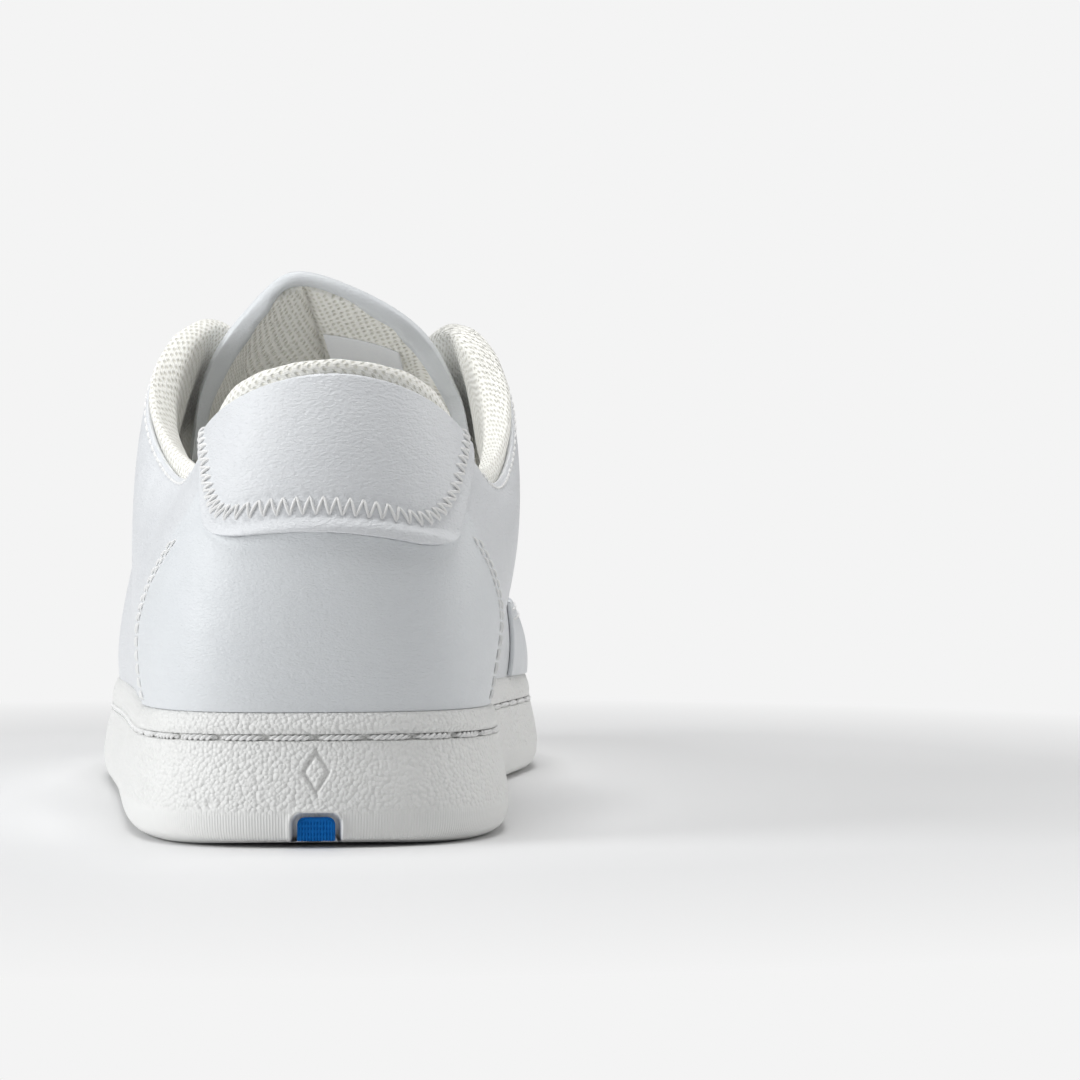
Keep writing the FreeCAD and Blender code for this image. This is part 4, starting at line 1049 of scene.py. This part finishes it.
def lace_half(side):
    """Keys of half the lace: a point, the way its flat side faces, and half its width."""
    keys = []
    face = 1.0
    inset = EYELET_INSET

    def add(point, facing, half):
        keys.append(np.concatenate([point, unit(facing), [half]]))

    def lay(u, down, lift, half, facing_down=None):
        """Flat along the throat; facing_down is where its facing is taken, if not there."""
        at = down if facing_down is None else facing_down
        facing = throat(u, side, at, 1.0) - throat(u, side, at, 0.0)
        add(throat(u, side, down, lift), facing * face, half)

    def thread(u, down, lift, way):
        """Upright in an eyelet."""
        inward = throat(u, side, inset - 3.0, 0.0) - throat(u, side, inset + 3.0, 0.0)
        add(throat(u, side, down, lift), inward * way, IN_HOLE)

    def cross(u, rise, half):
        """Over the middle of the throat."""
        add(between_edges(u, rise), np.array([0.0, 0.0, face]), half)

    cross(HOLES[0], -2.6, 2.9)
    lay(HOLES[0], 0.3, LACE_UNDER, AT_EDGE, 1.0)
    for u, onward in zip(HOLES, HOLES[1:]):
        lay(u, inset - 3.0, LACE_UNDER, AT_HOLE, inset)
        thread(u, inset + 0.6, LACE_UNDER + 2.2, face)
        thread(u, inset + 0.6, LACE_OVER - 1.6, face)
        face = -face
        lay(u, inset - 2.6, LACE_OVER, AT_HOLE, inset)
        lay(mix(u, onward, 0.2), 1.5, LACE_OVER + 0.3, LACE_HALF)
        cross(mix(u, onward, 0.5), 0.4 if side > 0 else -1.2, LACE_HALF)
        side = -side
        if onward == HOLES[-1]:
            lay(mix(u, onward, 0.8), 1.5, LACE_OVER + 0.8, AT_EDGE)
        else:
            lay(mix(u, onward, 0.8), 0.3, LACE_UNDER, AT_EDGE, 1.0)
    last = HOLES[-1]
    lay(last, inset - 2.6, LACE_OVER, AT_HOLE, inset)
    thread(last, inset, LACE_OVER - 1.6, -face)
    thread(last, inset, LACE_UNDER + 2.2, -face)
    for holes_on, down, half in ((0.12, 11.5, 2.4), (0.9, 16.5, 2.8),
                                 (1.7, TAIL_DOWN, LACE_HALF), (2.3, TAIL_DOWN, 1.6)):
        lay(tail_station(holes_on), down, LACE_UNDER, half)
    return keys


def lace_line(spacing=1.0):
    """Finely spaced rows (point, facing, half width) from one end of the lace to the other."""
    keys = np.array(list(reversed(lace_half(-1))) + lace_half(1)[1:])
    gaps = size_of(np.diff(keys[:, :3], axis=0))
    last = len(keys) - 1
    slopes = np.array([
        (keys[min(i + 1, last)] - keys[max(i - 1, 0)]) / gaps[max(i - 1, 0):min(i + 1, last)].sum()
        for i in range(last + 1)])
    rows = []
    for i, gap in enumerate(gaps):
        count = max(4, round(gap / spacing))
        t = np.arange(count) / count
        rows.append(blend(keys[i], keys[i + 1], slopes[i] * gap, slopes[i + 1] * gap, t))
    return np.concatenate(rows + [keys[-1:]])


AGLET_LONG, AGLET_RADIUS, AGLET_GAP = 16.0, 0.98, 0.15


def make_lace():
    """The flat lace, and a plastic sleeve in line with each of its ends."""
    rows = lace_line()
    path, facing, half = rows[:, :3], rows[:, 3:6], rows[:, 6]
    along = np.gradient(path, axis=0)
    across = unit(np.cross(along, facing))
    above = unit(np.cross(across, along))
    angle = np.linspace(0, 2 * np.pi, 17)
    # Powers below 1 square the oval up into a flat band with round edges.
    wide = np.sign(np.cos(angle)) * np.abs(np.cos(angle)) ** 0.55
    tall = np.sign(np.sin(angle)) * np.abs(np.sin(angle)) ** 0.75
    ring = (across[:, None] * wide[None, :, None] * half[:, None, None]
            + above[:, None] * tall[None, :, None] * LACE_THICK / 2)
    points = path[:, None] + ring
    run = lengths(path)
    flat = np.stack(np.broadcast_arrays(wide[None] * half[:, None], run[:, None]), axis=-1)
    faces = quads(len(rows), len(angle))[:, ::-1]
    ends = closed_ends(len(rows), len(angle))
    piece = add_mesh("lace_weave", points, np.concatenate([faces, ends]), LACE, flat)
    show(piece, "lace_textile", "lace")
    sleeves = Bundle()
    for end, side in ((rows[0], 1), (rows[-1], -1)):
        far = throat(tail_station(3.4), side, TAIL_DOWN, LACE_UNDER - 0.2)
        run = unit(far - end[:3])
        t = np.linspace(0, 1, 21)
        line = end[:3] + run * (AGLET_GAP + AGLET_LONG * t)[:, None]
        pinch = 1.0 - 0.12 * np.exp(-((t[:, None] - np.array([0.1, 0.9])) / 0.03) ** 2).sum(axis=1)
        radius = AGLET_RADIUS * pinch * np.sqrt(np.clip(1 - np.abs(2 * t - 1) ** 30, 0.02, 1))
        sleeves.add(*tube(line, end[3:6], radius, sides=14))
    show(sleeves.make("aglet_sleeves", AGLET), "aglet_plastic", "aglets")


def closed_ends(rows, columns):
    """Quads that close both ends of a tube whose rings have an even number of sides."""
    sides = columns - 1
    faces = []
    for start, turn in ((0, 1), ((rows - 1) * columns, -1)):
        for k in range(sides // 2 - 1):
            face = [start + k, start + k + 1, start + sides - k - 2, start + sides - k - 1]
            faces.append(face[::turn])
    return np.array(faces)


# ---- rubber cupsole
SIDEWALL = graph((
    (0, 3.6), (1.0, 1.7), (2.5, 0.6), (4.5, 0.15), (7.0, 0.0), (10, 0.35), (14, 1.1), (18, 2.0),
    (22, 2.6), (26, 3.0), (30, 3.1),
))
RING = 720  # points round the sole, closer at the heel
RECESS = (5.0, 6.9, 2.2, 3.0)  # half width, top, corner and depth
LOZENGE = (15.2, 3.2, 5.0, 0.6)  # height of its middle, half width and height, depth
GROOVE_CLEAR = 0.95  # half the height that the stitch groove takes up
# The rim's rounding, the gap between cup and upper, and the drop of the rim's inner edge.
RIM_RADIUS, CUP_GAP, RIM_DROP = 1.5, 0.2, 0.35


def groove_level(y):
    """Height of the stitch groove's middle."""
    return lip_height(y) - 5.0 - 1.5 * np.clip(y / 150.0, 0, 1)


def toe_factor(y):
    """How much more the sidewall leans in at the toe."""
    return 1 + 0.8 * np.clip((y - 220.0) / 60.0, 0, 1)


def rounded_box(x, z, half, top, corner):
    """Distance outside (positive) or inside a box with two round upper corners."""
    dx, dz = np.abs(x) - (half - corner), z - (top - corner)
    outside = np.hypot(np.maximum(dx, 0), np.maximum(dz, 0))
    return outside + np.minimum(np.maximum(dx, dz), 0) - corner


def lozenge_relief(x, z):
    """The outline of a plain lozenge, pressed in."""
    middle, half_wide, half_high, depth = LOZENGE
    reach = np.abs(x) / half_wide + np.abs(z - middle) / half_high
    return depth * ease(1.0, 0.88, reach) * ease(0.60, 0.74, reach)


def wall_ring(u, z, inset):
    """One level ring of the rubber's outer face; z and inset hold a value for each point."""
    line = sole_outline(u)
    normal = outward(sole_outline, u)
    x, y = line[:, 0], line[:, 1]
    total = SIDEWALL(z - toe_rise(y)) * toe_factor(y) + inset
    back = np.abs(u - 0.5) > 0.40
    *recess, recess_depth = RECESS
    box_distance = rounded_box(x, z, *recess)
    pressed = recess_depth * ease(0.25, -0.25, box_distance)
    border = -0.35 * np.exp(-((box_distance - 0.55) / 0.45) ** 2)
    total = total + np.where(back, pressed + border + lozenge_relief(x, z), 0.0)
    return np.stack([x - normal[:, 0] * total, y - normal[:, 1] * total, z], axis=-1)


TREAD_DEPTH = 0.9
HERRING_LONG, HERRING_PITCH = 9.0, 5.2  # length of a herringbone leg, and how far apart
PIVOT, PIVOT_RADIUS = (4, 184), 15  # pivot ring under the ball of the foot
FLEX_GROOVES, FLEX_DEPTH = (100.0, 124.0, 148.0), 1.0


def tread_depth(x, y):
    """Herringbone grooves, the pivot ring under the ball of the foot and three flex grooves."""
    zig = np.abs(((x + 60) / HERRING_LONG) % 2.0 - 1.0) * HERRING_LONG
    wave = np.abs(((y + zig) / HERRING_PITCH) % 1.0 - 0.5)
    depth = TREAD_DEPTH * ease(0.22, 0.14, wave)
    ring = np.hypot(x - PIVOT[0], y - PIVOT[1])
    circle = TREAD_DEPTH * ease(1.2, 0.8, np.abs(ring - PIVOT_RADIUS))
    depth = np.where(ring < PIVOT_RADIUS + 1.5, circle, depth)
    for place in FLEX_GROOVES:
        depth = np.maximum(depth, FLEX_DEPTH * ease(1.3, 0.8, np.abs(y - place)))
    return depth


def cap_faces(rows, columns):
    """Faces that span a ring of two points for each row; inner points count on from it."""
    def index(row, column):
        if row in (0, rows) or column == 0:
            return row
        if column == columns:
            return (2 * rows - row) % (2 * rows)
        return 2 * rows + (row - 1) * (columns - 1) + column - 1

    faces = []
    for i in range(rows):
        for j in range(columns):
            corners = [index(i, j), index(i, j + 1), index(i + 1, j + 1), index(i + 1, j)]
            faces.append(list(dict.fromkeys(corners)))
    return faces


def cap_points(ring, columns, level):
    """Inner points of a span: straight across from each ring point to its opposite one."""
    rows = len(ring) // 2
    share = np.arange(1, columns)[None, :, None] / columns
    first, second = ring[1:rows, None], ring[:rows:-1, None]
    points = first + (second - first) * share
    edge = np.minimum(share, 1 - share)[..., 0] * size_of(second - first)
    points[..., 2] = level(points[..., 0], points[..., 1], edge)
    return points.reshape(-1, 3)


def wall_rings(u):
    """Level rings up the rubber's outer face, over its rim, and down its inside to the floor."""
    y = sole_outline(u)[:, 1]
    ground, lip, groove = ground_face(y), lip_height(y), groove_level(y)
    rings = []
    for up, inset in ((0.0, 0.55), (0.12, 0.25), (0.35, 0.06)):
        rings.append(wall_ring(u, ground + up, inset))
    for share in np.linspace(0, 1, 42):
        rings.append(wall_ring(u, mix(ground + 0.7, groove - GROOVE_CLEAR, share), 0.0))
    section = ((-0.75, -0.08), (-0.68, 0.15), (-0.62, 1.1), (0.0, 1.3), (0.62, 1.1),
               (0.68, 0.15), (0.75, -0.08))
    for rise, inset in section:
        rings.append(wall_ring(u, groove + rise, inset))
    for share in np.linspace(0, 1, 7):
        bead = -0.35 * math.sin(math.pi * share)
        rings.append(wall_ring(u, mix(groove + GROOVE_CLEAR, lip - RIM_RADIUS, share), bead))
    for lean in np.radians(np.linspace(15, 90, 6)):
        z = lip - RIM_RADIUS + RIM_RADIUS * math.sin(lean)
        rings.append(wall_ring(u, z, RIM_RADIUS * (1 - math.cos(lean))))
    foot, normal = foot_outline(u), outward(foot_outline, u)
    rim, rim_z = rings[-1][:, :2], rings[-1][:, 2]
    inner_top = foot + normal * CUP_GAP
    rings.append(np.column_stack([mix(rim, inner_top, 0.5), rim_z]))
    rings.append(np.column_stack([inner_top, rim_z - RIM_DROP]))
    for share in np.linspace(0.1, 1, 8):
        z = mix(rim_z - RIM_DROP, cup_level(foot[:, 1]), share)
        lean = TUCK_LEAN * (lip_height(foot[:, 1]) - z)
        rings.append(np.column_stack([foot + normal * (CUP_GAP - lean[:, None]), z]))
    return np.array(rings)


def tread_level(x, y, edge):
    return ground_face(y) + tread_depth(x, y) * ease(1.0, 3.5, edge)


def floor_level(x, y, edge):
    return cup_level(y)


def make_cupsole():
    """The rubber cup: its wall, the tread under it and the floor inside it, in one mesh."""
    turn = np.arange(RING) / RING
    rings = wall_rings(turn - 0.6 * np.sin(2 * np.pi * turn) / (2 * np.pi))
    levels = len(rings)
    points = [rings.transpose(1, 0, 2).reshape(-1, 3)]
    run, tall = lengths(rings[10]), lengths(rings)
    flat = [np.stack([np.repeat(run, levels), tall.T.ravel()], axis=-1)]
    size = RING * levels
    faces = quads(RING, levels, wrap=True).tolist()
    caps = ((0, True, 90, tread_level), (levels - 1, False, 24, floor_level))
    for level, outside, columns, height in caps:
        inner = cap_points(rings[level], columns, height)
        loop = np.arange(RING) * levels + level
        for face in cap_faces(RING // 2, columns):
            face = [int(loop[k]) if k < RING else size + k - RING for k in face]
            faces.append(face if outside else face[::-1])
        points.append(inner)
        flat.append(inner[:, :2])
        size += len(inner)
    piece = add_mesh("rubber_cupsole", np.concatenate(points), faces, WHITE_RUBBER,
                     np.concatenate(flat))
    show(piece, "rubber_white", "cupsole")


PLUG_HALF, PLUG_FOOT, PLUG_TOP, PLUG_CORNER = 3.85, 1.3, 6.0, 1.6
PLUG_FRONT, PLUG_BACK = 1.05, 2.85  # y of its face and of its back


def make_plug():
    """Blue insert in the heel: a rounded plate whose face carries a fine grid of ribs."""
    x, z = grid(np.linspace(-PLUG_HALF, PLUG_HALF, 91), np.linspace(PLUG_FOOT, PLUG_TOP, 56))
    box = rounded_box(x, z, PLUG_HALF, PLUG_TOP, PLUG_CORNER)
    shoulder = PLUG_TOP - PLUG_CORNER
    arc = np.sqrt(np.clip(1 - ((z - shoulder) / PLUG_CORNER) ** 2, 0, 1))
    x = x * np.where(z > shoulder, 1 - 0.415 * (1 - arc), 1.0)
    ribs = np.maximum(ease(0.16, 0.30, np.abs((x / 0.62) % 1.0 - 0.5)),
                      0.7 * ease(0.16, 0.30, np.abs((z / 1.1) % 1.0 - 0.5)))
    border = ease(-0.55, -0.25, box)
    face = PLUG_FRONT + 0.28 * (1 - np.maximum(ribs, border)) + 0.35 * ease(-0.35, 0.0, box)
    front = np.stack([x, face, z], axis=-1)
    back = np.stack([x, 0 * x + PLUG_BACK, z], axis=-1)
    piece = slab("plug_insert", front, back, closed_faces(*x.shape), BLUE, x, z)
    show(piece, "plug_blue", "heel_plug")


# Length of a stitch, how deep it lies in the groove, and how many times it is twisted.
ROPE_LONG, ROPE_INSET, ROPE_TURNS = 10, 0.30, 3.2
STRAND_RADIUS, STRAND_SWING = 0.36, 0.30


def make_rope_stitches():
    """Two-strand thread, stitch after stitch, in the groove round the sidewall."""
    u = np.linspace(0, 1, 3001)
    y = sole_outline(u)[:, 1]
    z = groove_level(y)
    normal = outward(sole_outline, u)
    inset = SIDEWALL(z - toe_rise(y)) * toe_factor(y) + ROPE_INSET
    line = np.column_stack([sole_outline(u) - normal * inset[:, None], z])
    facing = np.column_stack([normal, 0 * z])
    run = lengths(line)
    count = int(run[-1] // ROPE_LONG)
    pitch = run[-1] / count
    bundle = Bundle()
    t = np.linspace(0, 1, 41)
    for k in range(count):
        place = pitch * (k + 0.05) + t * pitch * 0.90
        centre = pick(place, run, line)
        out = unit(pick(place, run, facing))
        centre = centre - out * (1.0 * np.abs(2 * t - 1) ** 6)[:, None]
        along = unit(np.gradient(centre, axis=0))
        side = np.cross(along, out)
        for phase in (0.0, math.pi):
            angle = phase + 2 * math.pi * t * ROPE_TURNS
            swing = out * np.sin(angle)[:, None] + side * np.cos(angle)[:, None]
            strand = centre + swing * STRAND_SWING
            taper = 0.7 + 0.3 * np.sqrt(np.sin(math.pi * np.clip(t, 0.02, 0.98)))
            radius = STRAND_RADIUS * taper
            bundle.add(*tube(strand, out, radius, THREAD_SIDES))
    show(bundle.make("sidewall_rope_stitches", THREAD), "thread_white", "sidewall_stitching")


SOCK_LIFT = 1.85  # its underside above the midsole foam
SOCK_INSET, SOCK_THICK = 4.95, 3.6  # how far in from the skin, and how high
SOCK_ROUND, HEEL_DISH = 1.2, 0.9  # its rounded edge, and how deep the heel is dished


def make_sock_cover():
    """Textile-covered sockliner, in one piece, lying on the midsole foam with a dished heel."""
    half = np.linspace(0.008, 0.492, 150)

    def edge_line(u):
        foot, normal = foot_outline(u), outward(foot_outline, u)
        y = foot[:, 1]
        z = foam_level(y) + SOCK_LIFT
        inset = SOCK_INSET + TUCK_LEAN * (lip_height(y) - z - SOCK_THICK / 2)
        return np.column_stack([foot - normal * inset[:, None], z])

    first, second = edge_line(half), edge_line(1 - half)
    share = spaced(70, 1.6, SOCK_ROUND)
    low = first[:, None] + (second - first)[:, None] * share[None, :, None]
    y = low[..., 1]
    low[..., 2] = foam_level(y) + SOCK_LIFT
    distance = np.minimum(share, 1 - share) * size_of(second - first)[:, None]
    dish = HEEL_DISH * ease(2, 22, distance) * ease(110, 60, y)
    thick = SOCK_THICK - rounding(distance, SOCK_ROUND) - dish
    top = low + np.stack([0 * y, 0 * y, thick], axis=-1)
    piece = slab("sock_cover", top, low, closed_faces(*y.shape)[:, ::-1], SOCK,
                 low[..., 0], low[..., 1])
    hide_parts("sockliner_heel", "sockliner_forefoot")
    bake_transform(piece)


# ---- studio and camera
LENS, SENSOR = 124.3, 36.0  # mm
CAMERA_PLACE = (-0.0021, -0.898, 0.077)
CAMERA_YAW, CAMERA_PITCH = 3.44, -1.15  # degrees to the right and up
BACKDROP = tint(244, 244, 244)
FLOOR_REACH, FLOOR_DROP = 30000.0, -0.15  # mm
FLOOR_FADE = (0.20, 0.34)  # from shaded floor to plain backdrop, m from the shoe
# Name, place, point it faces, width and height in m, power in W and colour.
LIGHTS = (
    ("softbox_left", (-1.10, -0.40, 0.45), (0, -0.05, 0.05), (0.6, 0.9), 9.6, (0.98, 0.99, 1.0)),
    ("softbox_right", (1.05, 0.22, 0.45), (0, -0.05, 0.05), (0.7, 0.9), 3.2, (1.0, 0.99, 0.97)),
    ("softbox_top", (0.0, -0.10, 1.25), (0, 0, 0.05), (0.8, 0.8), 11.6, (1.0, 1.0, 1.0)),
)


def area_light(name, place, target, size, power, shade):
    lamp = bpy.data.lights.new(name, "AREA")
    lamp.shape = "RECTANGLE"
    lamp.size, lamp.size_y = size
    lamp.energy = power
    lamp.color = shade
    item = bpy.data.objects.new(name, lamp)
    bpy.context.scene.collection.objects.link(item)
    aim(item, place, target)


def aim(item, place, target):
    """Puts a camera or lamp in its place, facing a target."""
    item.location = place
    run = Vector(target) - Vector(place)
    item.rotation_euler = run.to_track_quat("-Z", "Y").to_euler()


def make_studio():
    """Camera behind the heel, three softboxes, and a floor that fades into the backdrop."""
    scene = bpy.context.scene
    scene.view_settings.view_transform = "Standard"
    camera = bpy.data.cameras.new("camera")
    camera.lens, camera.sensor_width = LENS, SENSOR
    camera.clip_start, camera.clip_end = 0.05, 50.0
    item = bpy.data.objects.new("camera", camera)
    scene.collection.objects.link(item)
    place = Vector(CAMERA_PLACE)
    yaw, pitch = math.radians(CAMERA_YAW), math.radians(CAMERA_PITCH)
    look = Vector((math.sin(yaw) * math.cos(pitch), math.cos(yaw) * math.cos(pitch),
                   math.sin(pitch)))
    aim(item, place, place + look)
    scene.camera = item

    world = bpy.data.worlds.new("studio")
    world.use_nodes = True
    scene.world = world
    nodes, links = world.node_tree.nodes, world.node_tree.links
    nodes["Background"].inputs["Color"].default_value = tint(236, 238, 241)
    nodes["Background"].inputs["Strength"].default_value = 0.18
    backdrop = nodes.new("ShaderNodeBackground")
    backdrop.inputs["Color"].default_value = BACKDROP
    seen = nodes.new("ShaderNodeLightPath")
    either = nodes.new("ShaderNodeMixShader")
    links.new(seen.outputs["Is Camera Ray"], either.inputs["Fac"])
    links.new(nodes["Background"].outputs[0], either.inputs[1])
    links.new(backdrop.outputs[0], either.inputs[2])
    links.new(either.outputs[0], nodes["World Output"].inputs["Surface"])

    floor = Look("studio_floor", tint(229, 229, 229), 0.6, Specular_IOR_Level=0.1)
    away = floor.node("VectorMath", {0: floor.solid}, operation="LENGTH")
    share = floor.spread(away.outputs["Value"], *FLOOR_FADE)
    glow = floor.node("Emission", {"Color": BACKDROP})
    both = floor.node("MixShader", {"Fac": share, 1: floor.shader.outputs[0],
                                    2: glow.outputs[0]})
    floor.links.new(both.outputs[0], floor.nodes["Material Output"].inputs["Surface"])
    corners = [(x * FLOOR_REACH, y * FLOOR_REACH, FLOOR_DROP)
               for x, y in ((-1, -1), (1, -1), (1, 1), (-1, 1))]
    plane = add_mesh("studio_floor", corners, [[0, 1, 2, 3]], floor.material)
    for light in LIGHTS:
        area_light(*light)


make_studio()
make_cupsole()
make_plug()
make_rope_stitches()
make_upper()
make_stitching()
make_collar()
make_tongue()
make_lace()
make_sock_cover()
# The inner pieces keep their CAD shape and only get a look.
for node, look in (("midsole_foam", FOAM), ("strobel_board", BOARD), ("heel_counter", PUFF),
                   ("toe_puff", PUFF), ("midfoot_shank", SHANK)):
    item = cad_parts[node]
    item.data.materials.clear()
    item.data.materials.append(look)
